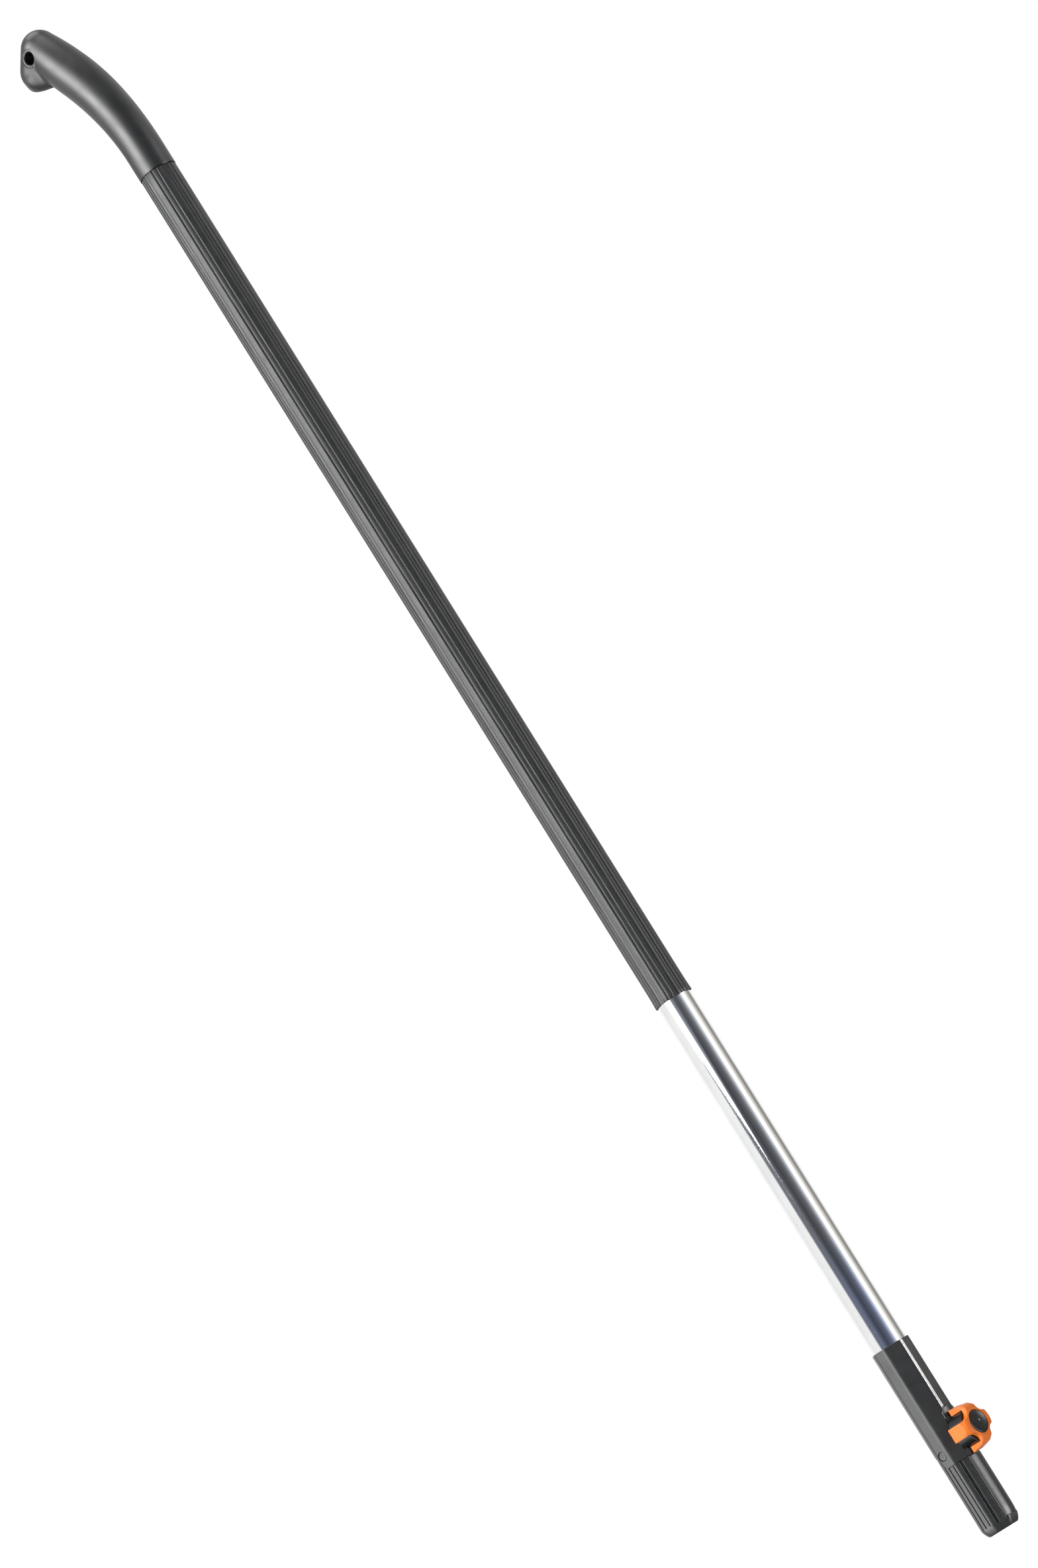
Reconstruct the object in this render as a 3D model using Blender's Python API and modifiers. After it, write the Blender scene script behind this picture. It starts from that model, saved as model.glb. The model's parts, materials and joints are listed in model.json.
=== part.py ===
"""Interchangeable-tool pole: bent moulded grip, ribbed sleeve, aluminium tube and clamp-knob coupling.

Units are metres. +Z runs up the pole. The origin is the centre of the spigot's end face, and the
clamp knob's screw lies along +X. The grip bends towards -X, and its hanging hole runs along Y.
"""
import math

import bmesh
import bpy
from mathutils import Matrix, Vector

MM = 0.001
GAP = 0.3 * MM

# --- Driving dimensions along the pole -------------------------------------------------------
SHOULDER_Z = 55.0 * MM
PIN_Z = 63.8 * MM
KNOB_Z = 71.4 * MM
HOUSING_TOP_Z = 147.5 * MM
SLEEVE_BOTTOM_Z = 433.0 * MM
GRIP_RIM_Z = 1149.5 * MM
POLE_LENGTH = 1300.0 * MM

# --- Tube and sleeve --------------------------------------------------------------------------
TUBE_R = 13.2 * MM
TUBE_WALL = 1.2 * MM
TUBE_BOTTOM_Z = 97.6 * MM
TUBE_TOP_Z = 1167.5 * MM
SLEEVE_R = 14.4 * MM
SLEEVE_FLARE_R = 14.75 * MM
SLEEVE_FLARE_LENGTH = 14.0 * MM
SLEEVE_TOP_Z = GRIP_RIM_Z - GAP
SLEEVE_REPEATS = 7
SLEEVE_FIRST_RIB = -3.0
SLEEVE_GROOVE_OFFSET = 7.0
SLEEVE_GROOVE_WIDTH = 1.4 * MM
SLEEVE_GROOVE_DEPTH = 0.45 * MM

# --- Coupling section: an octagon with its corners on one circle ------------------------------
CORNER_ANGLES = (20.0, 72.0, 108.0, 160.0, 200.0, 252.0, 288.0, 340.0)
HOUSING_CORNER_R = 15.75 * MM
SPIGOT_CORNER_R = 15.4 * MM
SPIGOT_TIP_CORNER_R = 12.5 * MM
RIB_START_Z = 6.0 * MM
KEY_START_Z = 8.0 * MM
KEY_SEAT_X = 12.5 * MM
SPIGOT_CHAMFER_Z = 5.4 * MM
GROOVE_DEPTH = 0.8 * MM
CHANNEL_HALF_WIDTH = 7.0 * MM
CHANNEL_FLOOR_X = 8.7 * MM
CHANNEL_ARCH_R = 15.1 * MM
KEY_R = 14.9 * MM
RAMP_R = 15.6 * MM
RAMP_HALF_WIDTH = CHANNEL_HALF_WIDTH - 0.1 * MM
RAMP_TOP_Z = 92.3 * MM
RAMP_SHOULDER_Z = 88.5 * MM
CORE_R = 12.3 * MM
CORE_TOP_Z = 97.0 * MM
STUB_R = 11.7 * MM
STUB_TOP_Z = 135.0 * MM
CROSS_BORE_R = 5.7 * MM
PIN_X = -0.5 * MM
PIN_R = 1.3 * MM
PIN_HEAD_R = 3.2 * MM
PIN_HEAD_DEPTH = 1.2 * MM
PIN_HEAD_SINK = 0.2 * MM
HOUSING_SIDE_Y = HOUSING_CORNER_R * math.sin(math.radians(72.0))
HOUSING_FACE_X = HOUSING_CORNER_R * math.cos(math.radians(20.0))
BACK_CUT_X = -1.5 * MM
BACK_CUT_ANGLE = 41.0
STRIPE_EDGE_Y = -5.1 * MM
STRIPE_WIDTH = 2.6 * MM
STRIPE_DEPTH = 0.6 * MM
SLANT_REACH = 20.0 * MM
CROSS_BORE_START_X = -13.0 * MM

# --- Clamp knob, positions along its own axis -------------------------------------------------
DRUM_BASE_X = 15.5 * MM
DRUM_R = 13.0 * MM
DRUM_TOP_X = 28.0 * MM
LOBE_BASE_X = 17.6 * MM
KNOB_FACE_X = 32.2 * MM
LOBE_BASE_R = 16.9 * MM
LOBE_FACE_R = 14.2 * MM
LOBE_HALF_WIDTH = 5.3 * MM
LOBE_FACE_HALF_WIDTH = 5.1 * MM
LOBE_TIP_HALF_WIDTH = 3.8 * MM
FACE_EDGE_R = 12.9 * MM
FACE_EDGE_SLOPE = 0.64
VALLEY_ARC_R = 6.2 * MM
VALLEY_ARC_CENTRE = 11.74 * MM
PLATE_BACK_X = 27.8 * MM
BOSS_R = 8.2 * MM
BOSS_FRONT_X = 30.0 * MM
HEAD_POCKET_X = 24.1 * MM
COVER_R = 8.4 * MM
COVER_BACK_X = 30.3 * MM
SCREW_R = 4.0 * MM
SCREW_TAIL_X = -9.5 * MM
HEAD_BACK_X = 24.4 * MM
HEAD_FRONT_X = 29.6 * MM
HEAD_ACROSS_FLATS = 13.0 * MM
WASHER_R = 9.0 * MM
WASHER_BACK_X = 15.3 * MM
WASHER_FRONT_X = 16.8 * MM
INSERT_R = 5.4 * MM
INSERT_BACK_X = -1.5 * MM
INSERT_FRONT_X = 9.2 * MM
RING_R = 5.3 * MM
RING_BACK_X = -8.1 * MM
RING_FRONT_X = -6.8 * MM
SCREW_HOLE_R = SCREW_R + GAP

# --- Moulded grip -----------------------------------------------------------------------------
GRIP_R = 14.8 * MM
GRIP_SHOULDER_R = 16.7 * MM
GRIP_END_R = 14.25 * MM
BEND_START_Z = 1166.4 * MM
BEND_RADIUS = 205.8 * MM
BEND_ANGLE = 25.8
CROWN = (-33.5 * MM, 1285.6 * MM, 14.4 * MM)
CHEEK = (-45.6 * MM, 1273.7 * MM, 14.5 * MM)
BEAK_TIP = (-53.3 * MM, 1270.3 * MM, 8.0 * MM)
BEAK_HEEL = (-38.8 * MM, 1266.1 * MM, 9.9 * MM)
HANG_HOLE = (-35.3 * MM, 1280.2 * MM)
HANG_HOLE_R = 4.75 * MM
HANG_RING_R = 6.6 * MM
HANG_RING_Y = 15.2 * MM
PLUG_FLANGE_Z = 1170.2 * MM
PLUG_TOP_Z = 1199.0 * MM
PLUG_SPINE_R = 9.0 * MM
PLUG_BOTTOM_Z = 1125.0 * MM

MATERIALS = {
    "grip_grey": ((0.045, 0.046, 0.048), 0.55, 0.0),
    "sleeve_black": ((0.030, 0.031, 0.033), 0.60, 0.0),
    "polished_aluminium": ((0.80, 0.81, 0.83), 0.15, 1.0),
    "nylon_black": ((0.028, 0.029, 0.031), 0.50, 0.0),
    "stripe_silver": ((0.75, 0.76, 0.78), 0.30, 0.8),
    "knob_orange": ((0.80, 0.17, 0.02), 0.38, 0.0),
    "knob_black": ((0.030, 0.032, 0.034), 0.42, 0.0),
    "steel": ((0.55, 0.56, 0.58), 0.30, 1.0),
    "brass": ((0.70, 0.50, 0.20), 0.35, 1.0),
}


# --- Scene ------------------------------------------------------------------------------------
def clear_scene():
    for item in list(bpy.data.objects):
        bpy.data.objects.remove(item, do_unlink=True)


def new_collection(name, hidden):
    group = bpy.data.collections.new(name)
    bpy.context.scene.collection.children.link(group)
    group.hide_render = hidden
    return group


def make_material(name):
    colour, roughness, metallic = MATERIALS[name]
    material = bpy.data.materials.new(name)
    material.use_nodes = True
    shader = material.node_tree.nodes["Principled BSDF"]
    shader.inputs["Base Color"].default_value = (*colour, 1.0)
    shader.inputs["Roughness"].default_value = roughness
    shader.inputs["Metallic"].default_value = metallic
    return material


clear_scene()
PARTS = new_collection("tool_pole", False)
CUTTERS = new_collection("tool_pole_cutters", True)


def add_object(name, mesh, group):
    item = bpy.data.objects.new(name, mesh)
    group.objects.link(item)
    return item


def as_part(item, name, material, sharp_angle=35.0):
    """Name a finished solid, give it its material and move it to the collection of parts."""
    item.name = name
    item.data.name = name
    for group in list(item.users_collection):
        group.objects.unlink(item)
    PARTS.objects.link(item)
    item.data.materials.clear()
    item.data.materials.append(make_material(material))
    item.data.shade_smooth()
    item.data.set_sharp_from_angle(angle=math.radians(sharp_angle))
    return item


def as_tool(item):
    item.hide_render = True
    item.display_type = "WIRE"
    return item


def boolean(target, tool, operation):
    as_tool(tool)
    modifier = target.modifiers.new(operation.lower(), "BOOLEAN")
    modifier.operation = operation
    modifier.solver = "EXACT"
    modifier.object = tool
    return target


def cut(target, tool):
    return boolean(target, tool, "DIFFERENCE")


def join(target, tool):
    return boolean(target, tool, "UNION")


def keep_common(target, tool):
    return boolean(target, tool, "INTERSECT")


# --- Basic solids -----------------------------------------------------------------------------
def box(low, high):
    """A block between two opposite corners."""
    mesh = bpy.data.meshes.new("block")
    size = Vector(high) - Vector(low)
    centre = (Vector(high) + Vector(low)) / 2.0
    shape = bmesh.new()
    bmesh.ops.create_cube(shape, size=1.0)
    bmesh.ops.scale(shape, vec=size, verts=shape.verts)
    bmesh.ops.translate(shape, vec=centre, verts=shape.verts)
    shape.to_mesh(mesh)
    shape.free()
    return add_object("block", mesh, CUTTERS)


def bar(radius, start, end, axis, through, sides=32, turn=0.0, end_radius=None):
    """A cylinder, cone or regular prism along X, Y or Z through a point, from start to end."""
    turns = {
        "X": Matrix.Rotation(math.pi / 2.0, 4, "Y"),
        "Y": Matrix.Rotation(-math.pi / 2.0, 4, "X"),
        "Z": Matrix.Identity(4),
    }
    mesh = bpy.data.meshes.new("bar")
    shape = bmesh.new()
    far_radius = radius if end_radius is None else end_radius
    bmesh.ops.create_cone(shape, cap_ends=True, segments=sides, radius1=radius, radius2=far_radius,
                          depth=end - start)
    centre = Matrix.Translation((0.0, 0.0, (start + end) / 2.0))
    placed = Matrix.Translation(through) @ turns[axis] @ centre @ Matrix.Rotation(turn, 4, "Z")
    bmesh.ops.transform(shape, matrix=placed, verts=shape.verts)
    shape.to_mesh(mesh)
    shape.free()
    return add_object("bar", mesh, CUTTERS)


def turned(profile, steps=48, closed=False):
    """Revolve a profile of (radius, height) points, listed down its outer side, about Z."""
    mesh = bpy.data.meshes.new("turned")
    edges = [(i, i + 1) for i in range(len(profile) - 1)]
    if closed:
        edges.append((len(profile) - 1, 0))
    mesh.from_pydata([(radius, 0.0, height) for radius, height in profile], edges, [])
    item = add_object("turned", mesh, CUTTERS)
    screw = item.modifiers.new("turn", "SCREW")
    screw.axis = "Z"
    screw.steps = steps
    screw.render_steps = steps
    screw.use_merge_vertices = True
    screw.merge_threshold = 0.00001
    return item


def ring(inner, outer, start, end, axis, through, sides=32):
    """A washer, bush or tube along one axis."""
    item = bar(outer, start, end, axis, through, sides)
    return cut(item, bar(inner, start - MM, end + MM, axis, through, sides))


def mesh_from_curve(curve_item):
    """Turn a curve into a welded closed mesh in the same place."""
    depsgraph = bpy.context.evaluated_depsgraph_get()
    mesh = bpy.data.meshes.new_from_object(curve_item.evaluated_get(depsgraph))
    shape = bmesh.new()
    shape.from_mesh(mesh)
    bmesh.ops.remove_doubles(shape, verts=shape.verts, dist=0.000001)
    bmesh.ops.recalc_face_normals(shape, faces=shape.faces)
    shape.to_mesh(mesh)
    shape.free()
    item = add_object("from_curve", mesh, CUTTERS)
    item.matrix_world = curve_item.matrix_world.copy()
    bpy.data.objects.remove(curve_item, do_unlink=True)
    return item


def prism(outline, start, end, axis="Z"):
    """Extrude a closed flat outline from start to end.

    Along Z the outline holds (x, y) points, and along X it holds (y, z) points.
    """
    curve = bpy.data.curves.new("outline", "CURVE")
    curve.dimensions = "2D"
    curve.fill_mode = "BOTH"
    curve.extrude = (end - start) / 2.0
    spline = curve.splines.new("POLY")
    spline.points.add(len(outline) - 1)
    for point, (across, up) in zip(spline.points, outline):
        point.co = (across, up, 0.0, 1.0)
    spline.use_cyclic_u = True
    item = add_object("outline", curve, CUTTERS)
    middle = (start + end) / 2.0
    if axis == "Z":
        item.matrix_world = Matrix.Translation((0.0, 0.0, middle))
    else:
        along_x = Matrix(((0.0, 0.0, 1.0, middle), (1.0, 0.0, 0.0, 0.0), (0.0, 1.0, 0.0, 0.0),
                          (0.0, 0.0, 0.0, 1.0)))
        item.matrix_world = along_x
    bpy.context.view_layer.update()
    return mesh_from_curve(item)


def arc(centre, radius, first, last, count):
    """Points on an arc, in degrees from the outline's first axis."""
    points = []
    for i in range(count + 1):
        angle = math.radians(first + (last - first) * i / count)
        points.append((centre[0] + radius * math.cos(angle), centre[1] + radius * math.sin(angle)))
    return points


def octagon(corner_radius):
    """The coupling's section: label flat on +X, wide corner faces, narrow flats on +Y and -Y."""
    return [(corner_radius * math.cos(math.radians(angle)), corner_radius * math.sin(math.radians(angle)))
            for angle in CORNER_ANGLES]


def channel_outline(lower_z):
    """The key channel as (y, z): straight sides and an arch round the knob's axis."""
    half_angle = math.degrees(math.asin(CHANNEL_HALF_WIDTH / CHANNEL_ARCH_R))
    arch = arc((0.0, KNOB_Z), CHANNEL_ARCH_R, 90.0 - half_angle, 90.0 + half_angle, 8)
    return [(-CHANNEL_HALF_WIDTH, lower_z), (CHANNEL_HALF_WIDTH, lower_z)] + arch


# --- Coupling ---------------------------------------------------------------------------------
def slot_blocks(slots, depth, low_z, high_z):
    """One cutter holding a block for each slot, given as (centre, outward normal, width)."""
    mesh = bpy.data.meshes.new("slots")
    shape = bmesh.new()
    overshoot = 2.0 * MM
    for centre, normal, width in slots:
        made = bmesh.ops.create_cube(shape, size=1.0)["verts"]
        size = Vector((depth + overshoot, width, high_z - low_z))
        middle = Vector(((overshoot - depth) / 2.0, 0.0, (high_z + low_z) / 2.0))
        facing = Matrix.Rotation(math.atan2(normal.y, normal.x), 4, "Z")
        placed = Matrix.Translation(centre) @ facing @ Matrix.Translation(middle)
        bmesh.ops.scale(shape, vec=size, verts=made)
        bmesh.ops.transform(shape, matrix=placed, verts=made)
    shape.to_mesh(mesh)
    shape.free()
    return add_object("slots", mesh, CUTTERS)


def spigot_slots():
    """Gaps between the spigot's ribs: distances along three faces, mirrored to the other side."""
    corners = [Vector((x, y, 0.0)) for x, y in octagon(SPIGOT_CORNER_R)]
    faces = (
        (corners[7], corners[6], ((3.0 * MM, 0.9 * MM), (9.2 * MM, 2.6 * MM))),
        (corners[6], corners[5], ((1.7 * MM, 0.7 * MM), (5.9 * MM, 0.7 * MM), (9.0 * MM, 0.5 * MM))),
        (corners[5], corners[4], ((3.2 * MM, 0.7 * MM), (7.4 * MM, 0.7 * MM), (11.6 * MM, 0.7 * MM))),
    )
    slots = []
    for start, end, places in faces:
        along = (end - start).normalized()
        outward = Vector((along.y, -along.x, 0.0))
        if outward.dot(start) < 0.0:
            outward.negate()
        for distance, width in places:
            centre = start + along * distance
            for side in (1.0, -1.0):
                slots.append((Vector((centre.x, side * centre.y, 0.0)),
                              Vector((outward.x, side * outward.y, 0.0)), width))
    return slots


def rear_edge(front_z, offset):
    """The joint line between housing and spigot in the XZ plane, from front to back."""
    slope = math.tan(math.radians(BACK_CUT_ANGLE))
    back_x = BACK_CUT_X - SLANT_REACH
    return [(SLANT_REACH, front_z), (BACK_CUT_X, front_z),
            (back_x, SHOULDER_Z + offset + SLANT_REACH * slope)]


def side_prism(outline):
    """Extrude an (x, z) outline along Y, right across the coupling."""
    item = prism(outline, -SLANT_REACH, SLANT_REACH)
    item.matrix_world = Matrix.Rotation(math.pi / 2.0, 4, "X")
    return item


def drawn_in_prism(corner_radius, tip_radius, chamfer_z, top_z):
    """An octagonal prism standing on Z = 0 whose lower end is chamfered all round."""
    item = prism(octagon(corner_radius), 0.0, top_z)
    item.data.transform(item.matrix_world)
    item.matrix_world = Matrix.Identity(4)
    shape = bmesh.new()
    shape.from_mesh(item.data)
    everything = shape.verts[:] + shape.edges[:] + shape.faces[:]
    bmesh.ops.bisect_plane(shape, geom=everything, dist=0.000001, plane_co=(0.0, 0.0, chamfer_z),
                           plane_no=(0.0, 0.0, 1.0))
    tip = [vertex for vertex in shape.verts if vertex.co.z < chamfer_z / 2.0]
    shrink = tip_radius / corner_radius
    bmesh.ops.scale(shape, vec=(shrink, shrink, 1.0), verts=tip)
    shape.to_mesh(item.data)
    shape.free()
    return item


def make_spigot():
    """Ribbed lower spigot with its key, carrying a round core and a stub that fills the tube's end."""
    top_z = SHOULDER_Z + SLANT_REACH
    body = drawn_in_prism(SPIGOT_CORNER_R, SPIGOT_TIP_CORNER_R, SPIGOT_CHAMFER_Z, top_z)
    above = rear_edge(SHOULDER_Z - GAP, -1.4 * GAP)
    above += [(above[-1][0], 2.0 * top_z), (SLANT_REACH, 2.0 * top_z)]
    cut(body, side_prism(above))
    cut(body, slot_blocks(spigot_slots(), GROOVE_DEPTH, RIB_START_Z, top_z))
    key_seat = box((KEY_SEAT_X, -CHANNEL_HALF_WIDTH, KEY_START_Z), (2.0 * KEY_R, CHANNEL_HALF_WIDTH, top_z))
    cut(body, key_seat)
    key = bar(KEY_R, KEY_START_Z, SHOULDER_Z - GAP - 0.1 * MM, "Z", (0.0, 0.0, 0.0), 64)
    key_side = CHANNEL_HALF_WIDTH - GAP
    keep_common(key, box((MM, -key_side, 0.0), (2.0 * KEY_R, key_side, SHOULDER_Z)))
    join(body, key)
    core = turned([(0.0, STUB_TOP_Z), (STUB_R - MM, STUB_TOP_Z), (STUB_R, STUB_TOP_Z - MM),
                   (STUB_R, CORE_TOP_Z), (CORE_R, CORE_TOP_Z), (CORE_R, SHOULDER_Z - 5.0 * MM),
                   (0.0, SHOULDER_Z - 5.0 * MM)])
    flat_low = (CHANNEL_FLOOR_X, -SLANT_REACH, SHOULDER_Z - MM)
    cut(core, box(flat_low, (SLANT_REACH, SLANT_REACH, KNOB_Z + CHANNEL_ARCH_R + MM)))
    join(body, core)
    cut(body, bar(CROSS_BORE_R, CROSS_BORE_START_X, SLANT_REACH, "X", (0.0, 0.0, KNOB_Z)))
    cut(body, bar(PIN_R + GAP, -SLANT_REACH, SLANT_REACH, "Y", (PIN_X, 0.0, PIN_Z), 16))
    return as_part(body, "spigot", "nylon_black")


def make_housing():
    """Faceted shell over the tube's end, with the key channel under the knob and the ramp above it."""
    shell = prism(octagon(HOUSING_CORNER_R), SHOULDER_Z, HOUSING_TOP_Z)
    arch = [(RAMP_HALF_WIDTH * math.cos(math.radians(angle)),
             RAMP_SHOULDER_Z + (RAMP_TOP_Z - RAMP_SHOULDER_Z) * math.sin(math.radians(angle)))
            for angle in range(0, 181, 20)]
    ramp_feet = [(-RAMP_HALF_WIDTH, SHOULDER_Z), (RAMP_HALF_WIDTH, SHOULDER_Z)]
    ramp = bar(RAMP_R, KNOB_Z, HOUSING_TOP_Z, "Z", (0.0, 0.0, 0.0), 64)
    join(shell, keep_common(ramp, prism(ramp_feet + arch, TUBE_R, SLANT_REACH, "X")))
    below = rear_edge(SHOULDER_Z, 0.0)[1:]
    below += [(below[-1][0], 0.0), (BACK_CUT_X, 0.0)]
    cut(shell, side_prism(below))
    cut(shell, prism(channel_outline(0.0), MM, SLANT_REACH, "X"))
    cut(shell, bar(TUBE_R + GAP, CORE_TOP_Z + GAP, POLE_LENGTH, "Z", (0.0, 0.0, 0.0), 48))
    cut(shell, bar(CORE_R + GAP, 0.0, CORE_TOP_Z + MM, "Z", (0.0, 0.0, 0.0), 48))
    pocket_low = (HOUSING_FACE_X - STRIPE_DEPTH, STRIPE_EDGE_Y - GAP, RAMP_TOP_Z + GAP)
    pocket_high = (SLANT_REACH, STRIPE_EDGE_Y + STRIPE_WIDTH + GAP, POLE_LENGTH)
    cut(shell, box(pocket_low, pocket_high))
    for side in (1.0, -1.0):
        ends = sorted((side * (HOUSING_SIDE_Y - PIN_HEAD_DEPTH - GAP), side * SLANT_REACH))
        cut(shell, bar(PIN_HEAD_R + GAP, ends[0], ends[1], "Y", (PIN_X, 0.0, PIN_Z), 24))
    cut(shell, bar(PIN_R + GAP, -SLANT_REACH, SLANT_REACH, "Y", (PIN_X, 0.0, PIN_Z), 16))
    return as_part(shell, "coupling_housing", "nylon_black")


def make_stripe():
    """Thin decorative strip let into the label face."""
    low = (HOUSING_FACE_X - STRIPE_DEPTH + GAP, STRIPE_EDGE_Y, RAMP_TOP_Z + 2.0 * GAP)
    high = (HOUSING_FACE_X, STRIPE_EDGE_Y + STRIPE_WIDTH, HOUSING_TOP_Z - GAP)
    return as_part(box(low, high), "stripe_inlay", "stripe_silver")


def make_rivet():
    """Cross rivet that holds the housing to the spigot, with a flat head sunk in each side."""
    head_back = HOUSING_SIDE_Y - PIN_HEAD_DEPTH
    head_front = HOUSING_SIDE_Y - PIN_HEAD_SINK
    through = (PIN_X, 0.0, PIN_Z)
    rivet = bar(PIN_R, -head_back - 0.5 * MM, head_back + 0.5 * MM, "Y", through, 16)
    join(rivet, bar(PIN_HEAD_R, head_back, head_front, "Y", through, 24))
    join(rivet, bar(PIN_HEAD_R, -head_front, -head_back, "Y", through, 24))
    return as_part(rivet, "coupling_rivet", "nylon_black")


def make_insert():
    through = (0.0, 0.0, KNOB_Z)
    insert = ring(SCREW_HOLE_R, INSERT_R, INSERT_BACK_X, INSERT_FRONT_X, "X", through, 24)
    return as_part(insert, "threaded_insert", "brass")


# --- Tube and sleeve --------------------------------------------------------------------------
def make_tube():
    inner = TUBE_R - TUBE_WALL
    profile = [(TUBE_R, TUBE_TOP_Z), (TUBE_R, TUBE_BOTTOM_Z), (inner, TUBE_BOTTOM_Z), (inner, TUBE_TOP_Z)]
    return as_part(turned(profile, 48, True), "pole_tube", "polished_aluminium")


def make_sleeve():
    """Push-on sleeve with pairs of grooves all round and a slight flare at its lower end."""
    inner = TUBE_R + GAP
    profile = [(SLEEVE_R, SLEEVE_TOP_Z), (SLEEVE_R, SLEEVE_BOTTOM_Z + SLEEVE_FLARE_LENGTH),
               (SLEEVE_FLARE_R, SLEEVE_BOTTOM_Z), (inner, SLEEVE_BOTTOM_Z), (inner, SLEEVE_TOP_Z)]
    sleeve = turned(profile, 56, True)
    slots = []
    for repeat in range(SLEEVE_REPEATS):
        for offset in (-SLEEVE_GROOVE_OFFSET, SLEEVE_GROOVE_OFFSET):
            angle = math.radians(SLEEVE_FIRST_RIB + repeat * 360.0 / SLEEVE_REPEATS + offset)
            outward = Vector((math.cos(angle), math.sin(angle), 0.0))
            slots.append((outward * SLEEVE_R, outward, SLEEVE_GROOVE_WIDTH))
    low_z = SLEEVE_BOTTOM_Z - MM
    cut(sleeve, slot_blocks(slots, SLEEVE_GROOVE_DEPTH, low_z, SLEEVE_TOP_Z + MM))
    return as_part(sleeve, "grip_sleeve", "sleeve_black")


# --- Moulded grip -----------------------------------------------------------------------------
def grip_path():
    """Centreline points and radii of the grip, from its rim through the bend to the crown."""
    path = [((0.0, GRIP_RIM_Z), GRIP_R), ((0.0, BEND_START_Z), GRIP_R)]
    steps = 10
    for i in range(1, steps + 1):
        angle = math.radians(BEND_ANGLE * i / steps)
        place = (-BEND_RADIUS * (1.0 - math.cos(angle)), BEND_START_Z + BEND_RADIUS * math.sin(angle))
        growth = (i / steps) ** 2
        path.append((place, GRIP_R + (GRIP_SHOULDER_R - GRIP_R) * growth))
    path.append(((CROWN[0], CROWN[1]), GRIP_END_R))
    return path


def make_grip_neck():
    """The bent round neck as a tapering tube along the grip's centreline."""
    path = grip_path()
    curve = bpy.data.curves.new("neck", "CURVE")
    curve.dimensions = "3D"
    curve.twist_mode = "MINIMUM"
    curve.bevel_depth = 1.0
    curve.bevel_resolution = 14
    curve.use_fill_caps = True
    spline = curve.splines.new("POLY")
    spline.points.add(len(path) - 1)
    for point, ((x, z), radius) in zip(spline.points, path):
        point.co = (x, 0.0, z, 1.0)
        point.radius = radius
    item = add_object("neck", curve, CUTTERS)
    bpy.context.view_layer.update()
    return mesh_from_curve(item)


def make_grip_head():
    """The head: the hull of four balls, from the crown down to the two ends of the beak."""
    balls = bmesh.new()
    for x, z, radius in (CROWN, CHEEK, BEAK_TIP, BEAK_HEEL):
        place = Matrix.Translation((x, 0.0, z)) @ Matrix.Rotation(math.pi / 2.0, 4, "X")
        bmesh.ops.create_uvsphere(balls, u_segments=24, v_segments=14, radius=radius, matrix=place)
    points = [vertex.co.copy() for vertex in balls.verts]
    balls.free()
    shape = bmesh.new()
    for point in points:
        shape.verts.new(point)
    bmesh.ops.convex_hull(shape, input=shape.verts, use_existing_faces=False)
    loose = [vertex for vertex in shape.verts if not vertex.link_faces]
    bmesh.ops.delete(shape, geom=loose, context="VERTS")
    bmesh.ops.recalc_face_normals(shape, faces=shape.faces)
    mesh = bpy.data.meshes.new("head")
    shape.to_mesh(mesh)
    shape.free()
    return add_object("head", mesh, CUTTERS)


def make_grip():
    """Moulded end grip: bent neck, beaked head, hanging hole with a raised ring, sockets below."""
    grip = make_grip_neck()
    join(grip, make_grip_head())
    hole_at = (HANG_HOLE[0], 0.0, HANG_HOLE[1])
    join(grip, bar(HANG_RING_R, -HANG_RING_Y, HANG_RING_Y, "Y", hole_at, 32))
    cut(grip, bar(HANG_HOLE_R, -2.0 * HANG_RING_Y, 2.0 * HANG_RING_Y, "Y", hole_at, 32))
    on_axis = (0.0, 0.0, 0.0)
    cut(grip, bar(TUBE_R + GAP, SHOULDER_Z, PLUG_FLANGE_Z + GAP, "Z", on_axis, 48))
    cut(grip, bar(PLUG_SPINE_R + GAP, SHOULDER_Z, PLUG_TOP_Z + GAP, "Z", on_axis, 32))
    return as_part(grip, "end_grip", "grip_grey")


def make_grip_plug():
    """Hard plug in the tube's upper end, with a spine that stiffens the moulded grip."""
    inner = TUBE_R - TUBE_WALL - GAP
    flange_z = TUBE_TOP_Z + GAP
    plug = turned([(0.0, PLUG_TOP_Z), (PLUG_SPINE_R, PLUG_TOP_Z), (PLUG_SPINE_R, PLUG_FLANGE_Z),
                   (TUBE_R, PLUG_FLANGE_Z), (TUBE_R, flange_z), (inner, flange_z),
                   (inner, PLUG_BOTTOM_Z), (0.0, PLUG_BOTTOM_Z)], 32)
    return as_part(plug, "grip_plug", "nylon_black")


# --- Clamp knob -------------------------------------------------------------------------------
def knob_pivot():
    """Empty on the knob's axis, at the height where its screw enters the coupling."""
    pivot = bpy.data.objects.new("knob_axis", None)
    PARTS.objects.link(pivot)
    pivot.location = (0.0, 0.0, KNOB_Z)
    return pivot


def make_washer():
    through = (0.0, 0.0, KNOB_Z)
    washer = ring(SCREW_HOLE_R, WASHER_R, WASHER_BACK_X, WASHER_FRONT_X, "X", through)
    return as_part(washer, "pressure_washer", "steel")


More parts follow.
